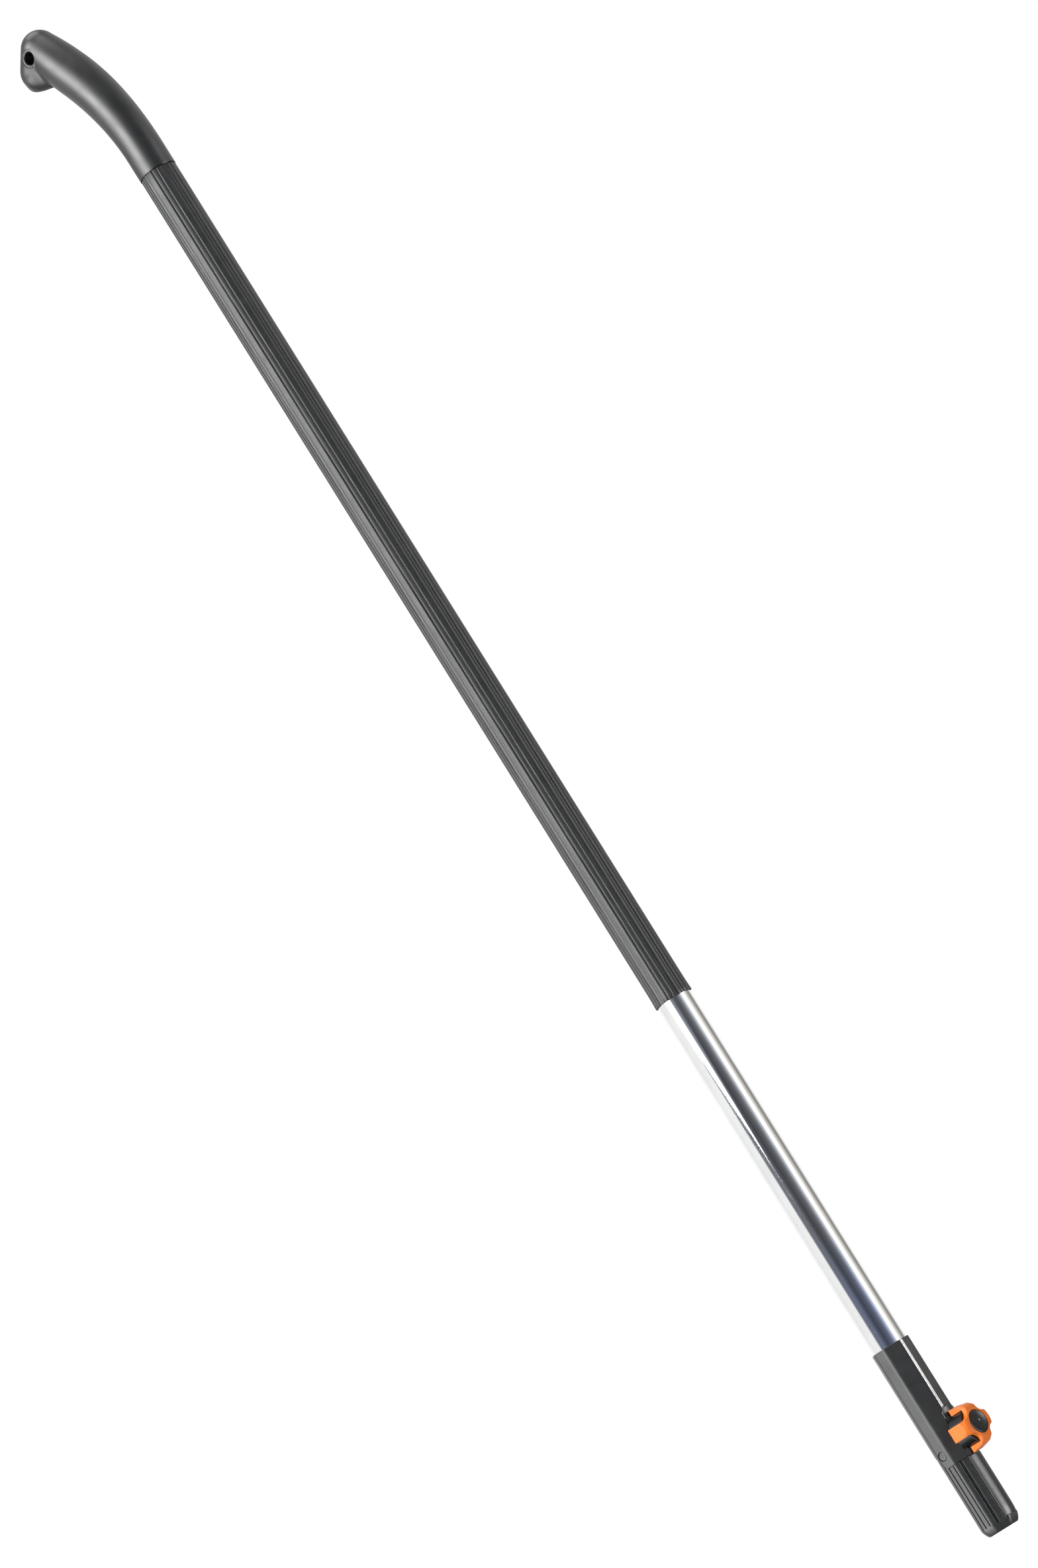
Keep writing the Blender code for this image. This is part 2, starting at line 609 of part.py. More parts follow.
def make_knob_core():
    """Black drum with a hexagonal pocket for the screw's head and a seat for the washer."""
    through = (0.0, 0.0, KNOB_Z)
    core = bar(DRUM_R, DRUM_BASE_X, DRUM_TOP_X, "X", through, 48)
    join(core, bar(BOSS_R, DRUM_TOP_X - MM, BOSS_FRONT_X, "X", through, 48))
    cut(core, bar(WASHER_R + GAP, WASHER_BACK_X - MM, WASHER_FRONT_X + GAP, "X", through, 32))
    cut(core, bar(SCREW_HOLE_R, 0.0, KNOB_FACE_X, "X", through, 24))
    pocket_r = (HEAD_ACROSS_FLATS / 2.0 + GAP) / math.cos(math.pi / 6.0)
    cut(core, bar(pocket_r, HEAD_POCKET_X, KNOB_FACE_X, "X", through, 6))
    return as_part(core, "knob_core", "knob_black")


def knob_lobe(turn):
    """One leg of the knob: a block that is wider and further out at its base than at the face."""
    mesh = bpy.data.meshes.new("lobe")
    shape = bmesh.new()
    bmesh.ops.create_cube(shape, size=2.0)
    for vertex in shape.verts:
        at_face = vertex.co.x > 0.0
        half_width = LOBE_FACE_HALF_WIDTH if at_face else LOBE_HALF_WIDTH
        reach = LOBE_FACE_R if at_face else LOBE_BASE_R
        vertex.co.x = KNOB_FACE_X - 0.2 * MM if at_face else LOBE_BASE_X
        vertex.co.y *= half_width
        vertex.co.z = reach if vertex.co.z > 0.0 else COVER_R
    placed = Matrix.Translation((0.0, 0.0, KNOB_Z)) @ Matrix.Rotation(turn, 4, "X")
    bmesh.ops.transform(shape, matrix=placed, verts=shape.verts)
    shape.to_mesh(mesh)
    shape.free()
    return add_object("lobe", mesh, CUTTERS)


def knob_plate_outline():
    """The knob's face as (y, z): four lobes with rounded corners and a round valley between each two."""
    quarter = [(LOBE_FACE_R, -LOBE_TIP_HALF_WIDTH), (LOBE_FACE_R, LOBE_TIP_HALF_WIDTH),
               (LOBE_FACE_R - 0.5 * MM, LOBE_FACE_HALF_WIDTH - 0.4 * MM),
               (LOBE_FACE_R - 1.6 * MM, LOBE_FACE_HALF_WIDTH)]
    centre = (VALLEY_ARC_CENTRE, VALLEY_ARC_CENTRE)
    quarter += arc(centre, VALLEY_ARC_R, 270.0, 180.0, 8)
    quarter += [(LOBE_FACE_HALF_WIDTH, LOBE_FACE_R - 1.6 * MM),
                (LOBE_FACE_HALF_WIDTH - 0.4 * MM, LOBE_FACE_R - 0.5 * MM)]
    outline = []
    for turn in range(4):
        angle = turn * math.pi / 2.0
        for y, z in quarter:
            outline.append((y * math.cos(angle) - z * math.sin(angle),
                            KNOB_Z + y * math.sin(angle) + z * math.cos(angle)))
    return outline


def make_knob_shell():
    """Orange four-lobed shell: a face plate and four legs that grip the drum, with open windows."""
    through = (0.0, 0.0, KNOB_Z)
    shell = prism(knob_plate_outline(), PLATE_BACK_X, KNOB_FACE_X, "X")
    for quarter in range(4):
        join(shell, knob_lobe(quarter * math.pi / 2.0))
    widest = FACE_EDGE_R + FACE_EDGE_SLOPE * (KNOB_FACE_X - DRUM_BASE_X)
    keep_common(shell, bar(widest, DRUM_BASE_X, KNOB_FACE_X, "X", through, 64, 0.0, FACE_EDGE_R))
    cut(shell, bar(DRUM_R + GAP, 0.0, DRUM_TOP_X + GAP, "X", through, 48))
    cut(shell, bar(COVER_R + GAP, 0.0, 2.0 * KNOB_FACE_X, "X", through, 48))
    return as_part(shell, "knob_shell", "knob_orange")


def make_knob_cover():
    """Round cap over the screw's head, with a small centre dimple."""
    through = (0.0, 0.0, KNOB_Z)
    cover = bar(COVER_R, COVER_BACK_X, KNOB_FACE_X, "X", through, 48)
    cut(cover, bar(0.5 * MM, KNOB_FACE_X - MM, 2.0 * KNOB_FACE_X, "X", through, 12))
    return as_part(cover, "knob_cover", "knob_black")


def make_screw():
    """Hexagon-head clamp screw along the knob's axis."""
    through = (0.0, 0.0, KNOB_Z)
    screw = bar(SCREW_R, SCREW_TAIL_X, HEAD_BACK_X + MM, "X", through, 24)
    head_r = HEAD_ACROSS_FLATS / 2.0 / math.cos(math.pi / 6.0)
    join(screw, bar(head_r, HEAD_BACK_X, HEAD_FRONT_X, "X", through, 6))
    return as_part(screw, "clamp_screw", "steel")


def make_stop_ring():
    through = (0.0, 0.0, KNOB_Z)
    stop = ring(SCREW_HOLE_R, RING_R, RING_BACK_X, RING_FRONT_X, "X", through, 24)
    return as_part(stop, "stop_ring", "steel")


def hang_on(pivot, items):
    """Parent the knob's pieces and their cutters to the empty on its axis, where they stand."""
    bpy.context.view_layer.update()
    for item in items:
        for follower in [item] + [modifier.object for modifier in item.modifiers]:
            follower.parent = pivot
            follower.matrix_parent_inverse = pivot.matrix_world.inverted()


make_spigot()
make_housing()
make_stripe()
make_rivet()
make_insert()
make_tube()
make_sleeve()
make_grip()
make_grip_plug()
hang_on(knob_pivot(), [make_washer(), make_knob_core(), make_knob_shell(), make_knob_cover(),
                       make_screw(), make_stop_ring()])
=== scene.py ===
"""Looks of an interchangeable-tool pole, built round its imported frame.

Units are metres. +Z runs up the pole, the knob's axis lies along +X, the grip bends to -X.
"""

import json
import math

import bmesh
import bpy
from mathutils import Matrix, Vector


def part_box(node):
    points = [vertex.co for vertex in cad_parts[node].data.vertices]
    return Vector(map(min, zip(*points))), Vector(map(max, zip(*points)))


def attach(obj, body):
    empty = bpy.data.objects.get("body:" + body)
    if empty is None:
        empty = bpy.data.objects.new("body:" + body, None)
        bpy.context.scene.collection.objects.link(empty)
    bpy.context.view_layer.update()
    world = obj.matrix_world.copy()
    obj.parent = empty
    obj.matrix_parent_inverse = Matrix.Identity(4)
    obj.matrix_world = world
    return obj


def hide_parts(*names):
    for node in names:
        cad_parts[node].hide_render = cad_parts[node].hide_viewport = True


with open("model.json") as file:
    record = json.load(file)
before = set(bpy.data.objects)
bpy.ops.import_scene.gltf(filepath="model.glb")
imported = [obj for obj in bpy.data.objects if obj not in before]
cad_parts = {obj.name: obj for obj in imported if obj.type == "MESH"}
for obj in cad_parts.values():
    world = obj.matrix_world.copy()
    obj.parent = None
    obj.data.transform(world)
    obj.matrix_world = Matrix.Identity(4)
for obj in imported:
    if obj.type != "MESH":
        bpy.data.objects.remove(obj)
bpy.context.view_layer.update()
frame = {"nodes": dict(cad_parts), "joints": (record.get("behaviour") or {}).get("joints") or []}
NODES = frame["nodes"]
MM = 0.001
# The clearance between pieces, and a length past the side of anything that is cut.
GAP = 0.3 * MM
REACH = 20.0 * MM


def joint_place(name):
    """Where a joint's axis passes."""
    found = [joint for joint in frame["joints"] if joint["name"] == name]
    return Vector(found[0]["pos_m"])


def span(node, axis):
    """Lowest and highest coordinate of a CAD node along one axis."""
    low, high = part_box(node)
    return low[axis], high[axis]


X, Y, Z = 0, 1, 2
ORIGIN = (0.0, 0.0, 0.0)
KNOB_Z = joint_place("knob_turn").z
KNOB_CENTRE = (0.0, 0.0, KNOB_Z)

# --- Camera ---
IMAGE_HEIGHT = 2369
FOCAL_LENGTH_IN_IMAGE_ROWS = 7501
# The sensor's width in mm spans the image's longer side, which is its height.
SENSOR = 36.0
CAMERA_DISTANCE = 3.479
CAMERA_AZIMUTH = math.radians(40.0)
CAMERA_TILT = math.radians(10.15)
CAMERA_ROLL = math.radians(31.91)
CAMERA_SIDESTEP = 12.4 * MM

TO_CAMERA = Vector((math.sin(CAMERA_AZIMUTH), -math.cos(CAMERA_AZIMUTH), 0.0))
TO_RIGHT = Vector((math.cos(CAMERA_AZIMUTH), math.sin(CAMERA_AZIMUTH), 0.0))
UPWARD = Vector((0.0, 0.0, 1.0))


def make_camera():
    """Long lens, level with the spigot's end, tilted up the pole and rolled round its axis."""
    forward = (UPWARD * math.sin(CAMERA_TILT) - TO_CAMERA * math.cos(CAMERA_TILT)).normalized()
    upright = (TO_CAMERA * math.sin(CAMERA_TILT) + UPWARD * math.cos(CAMERA_TILT)).normalized()
    roll = Matrix.Rotation(CAMERA_ROLL, 3, forward)
    data = bpy.data.cameras.new("camera")
    data.sensor_width = SENSOR
    data.lens = FOCAL_LENGTH_IN_IMAGE_ROWS / IMAGE_HEIGHT * SENSOR
    camera = bpy.data.objects.new("camera", data)
    bpy.context.scene.collection.objects.link(camera)
    placed = Matrix((roll @ TO_RIGHT, roll @ upright, -forward)).transposed().to_4x4()
    placed.translation = TO_CAMERA * CAMERA_DISTANCE - TO_RIGHT * CAMERA_SIDESTEP
    camera.matrix_world = placed
    bpy.context.scene.camera = camera
    bpy.context.scene.view_settings.view_transform = "Standard"


# --- Node helpers ---
class Tree:
    """Adds linked shader nodes in one line each."""

    def __init__(self, tree):
        self.tree = tree

    def add(self, kind, settings=None, **inputs):
        node = self.tree.nodes.new("ShaderNode" + kind)
        for name, value in (settings or {}).items():
            setattr(node, name, value)
        for name, value in inputs.items():
            key = int(name[1:]) if name[0] == "i" and name[1:].isdigit() else name.replace("_", " ")
            self.feed(node.inputs[key], value)
        return node

    def feed(self, socket, value):
        if isinstance(value, bpy.types.Node):
            value = value.outputs[0]
        if isinstance(value, bpy.types.NodeSocket):
            self.tree.links.new(value, socket)
        else:
            socket.default_value = value

    def maths(self, operation, first, second=0.0, third=0.0, clamp=False):
        settings = {"operation": operation, "use_clamp": clamp}
        return self.add("Math", settings, i0=first, i1=second, i2=third)

    def scaled(self, value, low, high, new_low, new_high):
        """A value carried from one range to another and held inside it."""
        return self.add("MapRange", Value=value, From_Min=low, From_Max=high,
                        To_Min=new_low, To_Max=new_high).outputs[0]

    def ramp(self, factor, stops):
        node = self.add("ValToRGB", Fac=factor)
        elements = node.color_ramp.elements
        while len(elements) > 1:
            elements.remove(elements[-1])
        for i, (place, colour) in enumerate(stops):
            element = elements[0] if i == 0 else elements.new(place)
            element.position = place
            element.color = (*colour, 1.0)
        return node

    def mixed(self, factor, first, second):
        node = self.add("Mix", {"data_type": "RGBA"})
        self.feed(node.inputs[0], factor)
        self.feed(node.inputs[6], first)
        self.feed(node.inputs[7], second)
        return node.outputs[2]


# --- Studio ---
# Directions are in degrees: round from the camera, positive to its right, and up from level.
SOFTBOX = 14.0
SIDE_BOX = 3.2
# The low ring is slate up to the first of these directions, and bluish close to level.
SLATE_EDGE = (44.0, 54.0)
BLUE_RISE = (3.1, 3.9)
BLUE_TINT = (0.92, 1.02, 1.32)
# Heights over which one ring gives way to the next.
UNDER_TOP = (0.8, 1.2)
BELT_TOP = (16.0, 18.0)
# The belt's lower edge is lowest at the tip and climbs away from it on both sides.
TIP_ANGLE = -30.0
TIP_ELEVATION = 5.25
TIP_SLOPE = 0.055
TIP_SOFTNESS = 0.2
CEILING_RISE = (25.0, 60.0)
CEILING_LIGHT = 0.6
OVERHEAD_START = 66.0
OVERHEAD_LIGHT = 3.2
FLOOR_DIP = (-12.5, -60.0)
FLOOR_LIGHT = 0.30
FLOOR_GREY = 0.80
FLOOR_ROUGHNESS = 0.85
FLOOR_RADIUS = 2.6
FLOOR_DROP = 1.0 * MM
BACKDROP_RADIUS = 28.0
WHITE = (1.0, 1.0, 1.0)

# Panels round the object as (direction, colour, strength), without a strength where it is 1.
# The bright tube mirrors the belt and the low ring, the upper ring lights the grip, and the
# under ring the coupling.
BELT_PANELS = (
    (-180, (0.90, 0.90, 0.90)), (-136, (0.90, 0.90, 0.90)), (-118, (0.83, 0.83, 0.83)),
    (-92, (0.85, 0.85, 0.86)), (-80, (0.73, 0.73, 0.76)), (-68, (0.64, 0.64, 0.68)),
    (-60, WHITE, SOFTBOX), (-31, WHITE, SOFTBOX), (-25, (0.50, 0.51, 0.55)),
    (-17, (0.27, 0.285, 0.33)), (-8, (0.165, 0.18, 0.215)), (0, (0.125, 0.14, 0.17)),
    (16, (0.13, 0.145, 0.175)), (33, (0.175, 0.195, 0.23)), (42, (0.29, 0.32, 0.36)),
    (50, (0.40, 0.42, 0.45)), (56, (0.56, 0.58, 0.60)), (61, WHITE, SIDE_BOX),
    (72, WHITE, SIDE_BOX), (81, (0.75, 0.74, 0.70)), (95, (0.40, 0.39, 0.36)),
    (109, (0.18, 0.18, 0.175)), (125, (0.26, 0.26, 0.255)), (141, (0.80, 0.80, 0.80)),
    (180, WHITE),
)
LOW_PANELS = (
    (-180, WHITE), (-136, WHITE), (-118, (0.88, 0.88, 0.87)), (-90, (0.94, 0.94, 0.93)),
    (-62, (0.95, 0.95, 0.94)), (-53, (0.19, 0.20, 0.23)), (-42, (0.145, 0.152, 0.175)),
    (-33, (0.16, 0.167, 0.19)), (-24, (0.13, 0.135, 0.152)), (-14, (0.080, 0.084, 0.095)),
    (0, (0.060, 0.063, 0.072)), (9, (0.090, 0.094, 0.104)), (17, (0.092, 0.095, 0.104)),
    (25, (0.14, 0.145, 0.158)), (33, (0.165, 0.172, 0.188)), (42, (0.36, 0.38, 0.42)),
    (50, (0.60, 0.62, 0.66)), (56, (0.78, 0.80, 0.83)), (61, WHITE, SIDE_BOX),
    (70, WHITE, SIDE_BOX), (81, (0.86, 0.83, 0.79)), (95, (0.62, 0.59, 0.54)),
    (108, (0.29, 0.28, 0.26)), (125, (0.32, 0.315, 0.305)), (139, (0.90, 0.90, 0.90)),
    (180, WHITE),
)
UPPER_PANELS = (
    (-180, (0.45, 0.45, 0.46)), (-112, (0.45, 0.45, 0.46)), (-92, WHITE, 2.0),
    (-76, WHITE, SOFTBOX * 0.85), (-62, WHITE, SOFTBOX), (-48, WHITE, SOFTBOX * 0.93),
    (-36, WHITE, SOFTBOX * 0.45), (-22, WHITE, 1.8), (-8, (0.60, 0.61, 0.62)),
    (10, (0.18, 0.185, 0.19)), (28, (0.055, 0.06, 0.065)), (46, (0.06, 0.065, 0.07)),
    (66, (0.25, 0.25, 0.25)), (86, (0.70, 0.70, 0.70)), (106, WHITE, 1.1), (140, WHITE, 1.1),
    (180, (0.45, 0.45, 0.46)),
)
UNDER_PANELS = (
    (-180, (0.45, 0.45, 0.46)), (-112, (0.45, 0.45, 0.46)), (-92, WHITE, SOFTBOX * 0.47),
    (-52, WHITE, SOFTBOX * 0.47), (-40, WHITE, 2.5), (-24, (0.80, 0.80, 0.81)),
    (-8, (0.20, 0.205, 0.21)), (6, (0.055, 0.06, 0.065)), (50, (0.06, 0.065, 0.07)),
    (66, WHITE, SOFTBOX), (86, WHITE, SOFTBOX), (95, (0.40, 0.39, 0.37)),
    (180, (0.45, 0.45, 0.46)),
)


def panel_ring(tree, place, stops):
    """Light from a ring of panels at a share of the way round."""
    places = [(angle + 180.0) / 360.0 for angle, *_ in stops]
    levels = [level[0] / SOFTBOX if level else 1.0 / SOFTBOX for _, _, *level in stops]
    colour = tree.ramp(place, list(zip(places, (tint for _, tint, *_ in stops))))
    strong = tree.ramp(place, [(at, (level,) * 3) for at, level in zip(places, levels)])
    level = tree.maths("MULTIPLY", strong, SOFTBOX)
    return tree.add("VectorMath", {"operation": "SCALE"}, i0=colour, Scale=level).outputs[0]


def faded(tree, angle, limits, start, end):
    """Go from start to end while an angle passes between two limits in degrees."""
    return tree.scaled(angle, math.radians(limits[0]), math.radians(limits[1]), start, end)


def grey(level):
    return (level, level, level, 1.0)


def make_studio_light():
    """Rings of soft panels, a pale ceiling and the floor's bounce, as light from far away."""
    world = bpy.data.worlds.new("studio")
    bpy.context.scene.world = world
    world.use_nodes = True
    tree = Tree(world.node_tree)
    direction = tree.add("TexCoord").outputs["Generated"]

    def towards(axis):
        dot = tree.add("VectorMath", {"operation": "DOT_PRODUCT"}, i0=direction, i1=tuple(axis))
        return dot.outputs["Value"]

    around = tree.maths("ARCTAN2", towards(TO_RIGHT), towards(TO_CAMERA))
    rise = tree.maths("ARCSINE", towards(UPWARD))
    turn = tree.maths("MULTIPLY_ADD", around, 0.5 / math.pi, 0.5)
    belt, low, upper, under = (panel_ring(tree, turn, panels) for panels in
                               (BELT_PANELS, LOW_PANELS, UPPER_PANELS, UNDER_PANELS))
    at_slate = faded(tree, tree.maths("ABSOLUTE", around), SLATE_EDGE, 1.0, 0.0)
    near_level = faded(tree, rise, BLUE_RISE, 1.0, 0.0)
    bluish = tree.add("VectorMath", {"operation": "MULTIPLY"}, i0=low, i1=BLUE_TINT)
    low = tree.mixed(tree.maths("MULTIPLY", at_slate, near_level), low, bluish)
    from_tip = tree.maths("ABSOLUTE", tree.maths("SUBTRACT", around, math.radians(TIP_ANGLE)))
    edge = tree.maths("MULTIPLY_ADD", from_tip, TIP_SLOPE, math.radians(TIP_ELEVATION))
    above_edge = tree.maths("SUBTRACT", rise, edge)
    in_belt = faded(tree, above_edge, (-TIP_SOFTNESS, TIP_SOFTNESS), 0.0, 1.0)
    light = tree.mixed(in_belt, low, belt)
    light = tree.mixed(faded(tree, rise, BELT_TOP, 0.0, 1.0), light, upper)
    light = tree.mixed(faded(tree, rise, UNDER_TOP, 1.0, 0.0), light, under)
    light = tree.mixed(faded(tree, rise, CEILING_RISE, 0.0, 1.0), light, grey(CEILING_LIGHT))
    light = tree.mixed(faded(tree, rise, FLOOR_DIP, 0.0, 1.0), light, grey(FLOOR_LIGHT))
    overhead = tree.maths("GREATER_THAN", rise, math.radians(OVERHEAD_START))
    light = tree.mixed(overhead, light, grey(OVERHEAD_LIGHT))
    tree.feed(world.node_tree.nodes["Background"].inputs["Color"], light)


def make_backdrop():
    """A white sphere far outside the scene, seen by the camera only."""
    shape = bmesh.new()
    bmesh.ops.create_uvsphere(shape, u_segments=48, v_segments=24, radius=BACKDROP_RADIUS)
    backdrop = add_object("backdrop", mesh_from("backdrop", shape))
    material = bpy.data.materials.new("backdrop_white")
    material.use_nodes = True
    nodes = material.node_tree.nodes
    nodes.remove(nodes["Principled BSDF"])
    glow = nodes.new("ShaderNodeEmission")
    material.node_tree.links.new(glow.outputs[0], nodes["Material Output"].inputs["Surface"])
    backdrop.data.materials.append(material)
    for ray in ("diffuse", "glossy", "transmission", "volume_scatter", "shadow"):
        setattr(backdrop, "visible_" + ray, False)


def make_floor():
    """A round pale floor just below the spigot's end."""
    shape = bmesh.new()
    bmesh.ops.create_circle(shape, cap_ends=True, segments=96, radius=FLOOR_RADIUS)
    bmesh.ops.translate(shape, vec=(0.0, 0.0, -FLOOR_DROP), verts=shape.verts)
    floor = add_object("floor", mesh_from("floor", shape))
    material = bpy.data.materials.new("floor_paint")
    material.use_nodes = True
    shader = material.node_tree.nodes["Principled BSDF"]
    shader.inputs["Base Color"].default_value = grey(FLOOR_GREY)
    shader.inputs["Roughness"].default_value = FLOOR_ROUGHNESS
    floor.data.materials.append(material)
    floor.visible_glossy = False


# --- Materials ---
# Noise mostly stays between these values.
NOISE_LOW, NOISE_HIGH = 0.3, 0.7
# Plastic: clouds and grain are scales per metre, and rubbed edges start at this pointiness.
CLOUD_SCALE = 90.0
MOTTLE = 0.10
RUBBED_EDGE = (0.56, 0.66)
GLOSS_BELOW, GLOSS_ABOVE = 0.04, 0.05
# Metal: drawn lines, clouding and nicks.
LINE_SCALE = 2600.0
LINE_DEPTH = 0.0010 * MM
HAZE_SCALE = 45.0
HAZE = 0.93
NICK_SCALE = 190.0
NICK_EDGE = (0.035, 0.075)
NICK_DEPTH = 0.006 * MM
NICK_COLOUR = (0.45, 0.46, 0.48, 1.0)
ALONG_Z = (1.0, 1.0, 0.02)
ALONG_X = (0.05, 1.0, 1.0)


def surface(name, metallic=0.0):
    """A Principled material, and what adds nodes to it in the piece's own coordinates."""
    material = bpy.data.materials.new(name)
    material.use_nodes = True
    shader = material.node_tree.nodes["Principled BSDF"]
    shader.inputs["Metallic"].default_value = metallic
    tree = Tree(material.node_tree)
    place = tree.add("TexCoord").outputs["Object"]
    return material, shader, tree, place


def noise(tree, place, scale, detail=2.0, stretch=None):
    """Noise with features about 1 / scale metres across, longer where stretch is below 1."""
    if stretch is not None:
        place = tree.add("Mapping", Vector=place, Scale=stretch)
    return tree.add("TexNoise", Vector=place, Scale=scale, Detail=detail).outputs[0]


def spread(tree, value, low, high):
    """Noise stretched over a range."""
    return tree.scaled(value, NOISE_LOW, NOISE_HIGH, low, high)


def shaded(colour, share):
    return tuple(share * channel for channel in colour) + (1.0,)


def bumped(tree, shader, layers):
    """Stack bump layers given as (height, depth in metres, strength)."""
    normal = None
    for height, depth, strength in layers:
        bump = tree.add("Bump", Height=height, Distance=depth, Strength=strength)
        if normal is not None:
            tree.feed(bump.inputs["Normal"], normal)
        normal = bump.outputs[0]
    tree.feed(shader.inputs["Normal"], normal)


def moulded_plastic(name, colour, roughness, grain, depth, worn=None, shine=0.5):
    """Mottled colour, uneven gloss, a fine eroded grain and, where a worn colour is given,
    rubbed edges."""
    material, shader, tree, place = surface(name)
    shader.inputs["Specular IOR Level"].default_value = shine
    cloudy = noise(tree, place, CLOUD_SCALE, 3.0)
    fine = noise(tree, place, grain, 3.0)
    dark, pale = shaded(colour, 1.0 - MOTTLE), shaded(colour, 1.0 + MOTTLE)
    tone = tree.mixed(spread(tree, cloudy, 0.0, 1.0), dark, pale)
    if worn is not None:
        edge = tree.scaled(tree.add("NewGeometry").outputs["Pointiness"], *RUBBED_EDGE, 0.0, 1.0)
        patchy = tree.scaled(fine, 0.35, 0.65, 0.25, 1.0)
        rubbed = tree.maths("MULTIPLY", edge, patchy, clamp=True)
        tone = tree.mixed(rubbed, tone, (*worn, 1.0))
    tree.feed(shader.inputs["Base Color"], tone)
    gloss = spread(tree, cloudy, roughness - GLOSS_BELOW, roughness + GLOSS_ABOVE)
    tree.feed(shader.inputs["Roughness"], gloss)
    bumped(tree, shader, [(fine, depth, 0.5), (cloudy, 4.0 * depth, 0.15)])
    return material


def polished_metal(name, colour, roughness, along, scratch=0.35):
    """Drawn and polished metal: fine lines along one direction, a few nicks, soft clouding."""
    material, shader, tree, place = surface(name, metallic=1.0)
    lines = noise(tree, place, LINE_SCALE, 2.0, along)
    clouds = noise(tree, place, HAZE_SCALE, 2.0)
    nicks = tree.add("TexVoronoi", {"feature": "F1"}, Vector=place, Scale=NICK_SCALE)
    speck = tree.scaled(nicks.outputs["Distance"], *NICK_EDGE, 1.0, 0.0)
    tone = tree.mixed(spread(tree, clouds, 0.0, 1.0), shaded(colour, HAZE), (*colour, 1.0))
    tree.feed(shader.inputs["Base Color"], tree.mixed(speck, tone, NICK_COLOUR))
    tree.feed(shader.inputs["Roughness"], spread(tree, lines, roughness * 0.7, roughness * 1.4))
    bumped(tree, shader, [(lines, LINE_DEPTH, scratch), (speck, NICK_DEPTH, -0.2)])
    return material


def make_materials():
    """Every finish by its slot: colour, roughness, then a plastic's grain scale and depth."""
    return {
        "coupling_nylon": moulded_plastic(
            "coupling_nylon", (0.0190, 0.0195, 0.020), 0.31, 2600.0, 0.004 * MM),
        "sleeve_plastic": moulded_plastic(
            "sleeve_plastic", (0.0095, 0.010, 0.0105), 0.42, 2200.0, 0.006 * MM),
        "grip_plastic": moulded_plastic(
            "grip_plastic", (0.0075, 0.0078, 0.0082), 0.36, 1900.0, 0.012 * MM,
            worn=(0.02, 0.02, 0.021), shine=0.62),
        "knob_orange": moulded_plastic(
            "knob_orange", (0.51, 0.112, 0.010), 0.33, 1800.0, 0.010 * MM,
            worn=(0.66, 0.22, 0.05), shine=0.22),
        "knob_black": moulded_plastic(
            "knob_black", (0.006, 0.0063, 0.0066), 0.21, 2400.0, 0.003 * MM, shine=0.36),
        "polished_tube": polished_metal("polished_tube", (0.93, 0.935, 0.945), 0.032, ALONG_Z),
        "steel": polished_metal("zinc_steel", (0.62, 0.63, 0.65), 0.28, ALONG_X),
        "brass": polished_metal("brass", (0.80, 0.58, 0.27), 0.30, ALONG_X),
        "silver_trim": polished_metal("silver_trim", (0.66, 0.66, 0.67), 0.34, ALONG_Z, 0.2),
    }


# --- Mesh helpers ---
SMOOTHING = 0.5
WELD = 0.002 * MM
FLAT_WITHIN = math.radians(0.6)


def add_object(name, mesh):
    item = bpy.data.objects.new(name, mesh)
    bpy.context.scene.collection.objects.link(item)
    return item


def mesh_from(name, shape):
    """A new mesh from a bmesh, which is used up."""
    mesh = bpy.data.meshes.new(name)
    shape.to_mesh(mesh)
    shape.free()
    return mesh


def from_shape(name, shape):
    """A new object from a bmesh, with its normals outwards."""
    bmesh.ops.recalc_face_normals(shape, faces=shape.faces)
    return add_object(name, mesh_from(name, shape))


def applied(item):
    """Make an object's modifiers real."""
    bpy.context.view_layer.update()
    evaluated = item.evaluated_get(bpy.context.evaluated_depsgraph_get())
    mesh = bpy.data.meshes.new_from_object(evaluated)
    item.modifiers.clear()
    item.data = mesh


def combined(target, tool, operation):
    """A Boolean made real at once, with its tool thrown away."""
    modifier = target.modifiers.new("boolean", "BOOLEAN")
    modifier.operation = operation
    modifier.solver = "MANIFOLD"
    modifier.object = tool
    applied(target)
    bpy.data.objects.remove(tool, do_unlink=True)


def cut(target, tool):
    combined(target, tool, "DIFFERENCE")


def joined(target, other):
    """Two overlapping solids as one mesh, to be fused by a remesh."""
    shape = bmesh.new()
    for item in (target, other):
        shape.from_mesh(item.data)
    shape.to_mesh(target.data)
    shape.free()
    bpy.data.objects.remove(other, do_unlink=True)


def grid_solid(name, rings, closed_ends=True):
    """A closed skin through rings of points, all with the same number of points."""
    shape = bmesh.new()
    made = [[shape.verts.new(point) for point in points] for points in rings]
    count = len(made[0])
    bands = list(zip(made, made[1:]))
    if not closed_ends:
        bands.append((made[-1], made[0]))
    for low, high in bands:
        for i in range(count):
            onward = (i + 1) % count
            shape.faces.new((low[i], low[onward], high[onward], high[i]))
    if closed_ends:
        shape.faces.new(made[0])
        shape.faces.new(made[-1])
    return from_shape(name, shape)


def ring_points(radius, height, steps, axis=Z, through=ORIGIN):
    """A circle round an axis through a point, at a place along that axis."""
    points = []
    for i in range(steps):
        angle = 2.0 * math.pi * i / steps
        across, up = radius * math.cos(angle), radius * math.sin(angle)
        if axis == Z:
            points.append((through[0] + across, through[1] + up, height))
        elif axis == X:
            points.append((height, through[1] + across, through[2] + up))
        else:
            points.append((through[0] + across, height, through[2] + up))
    return points


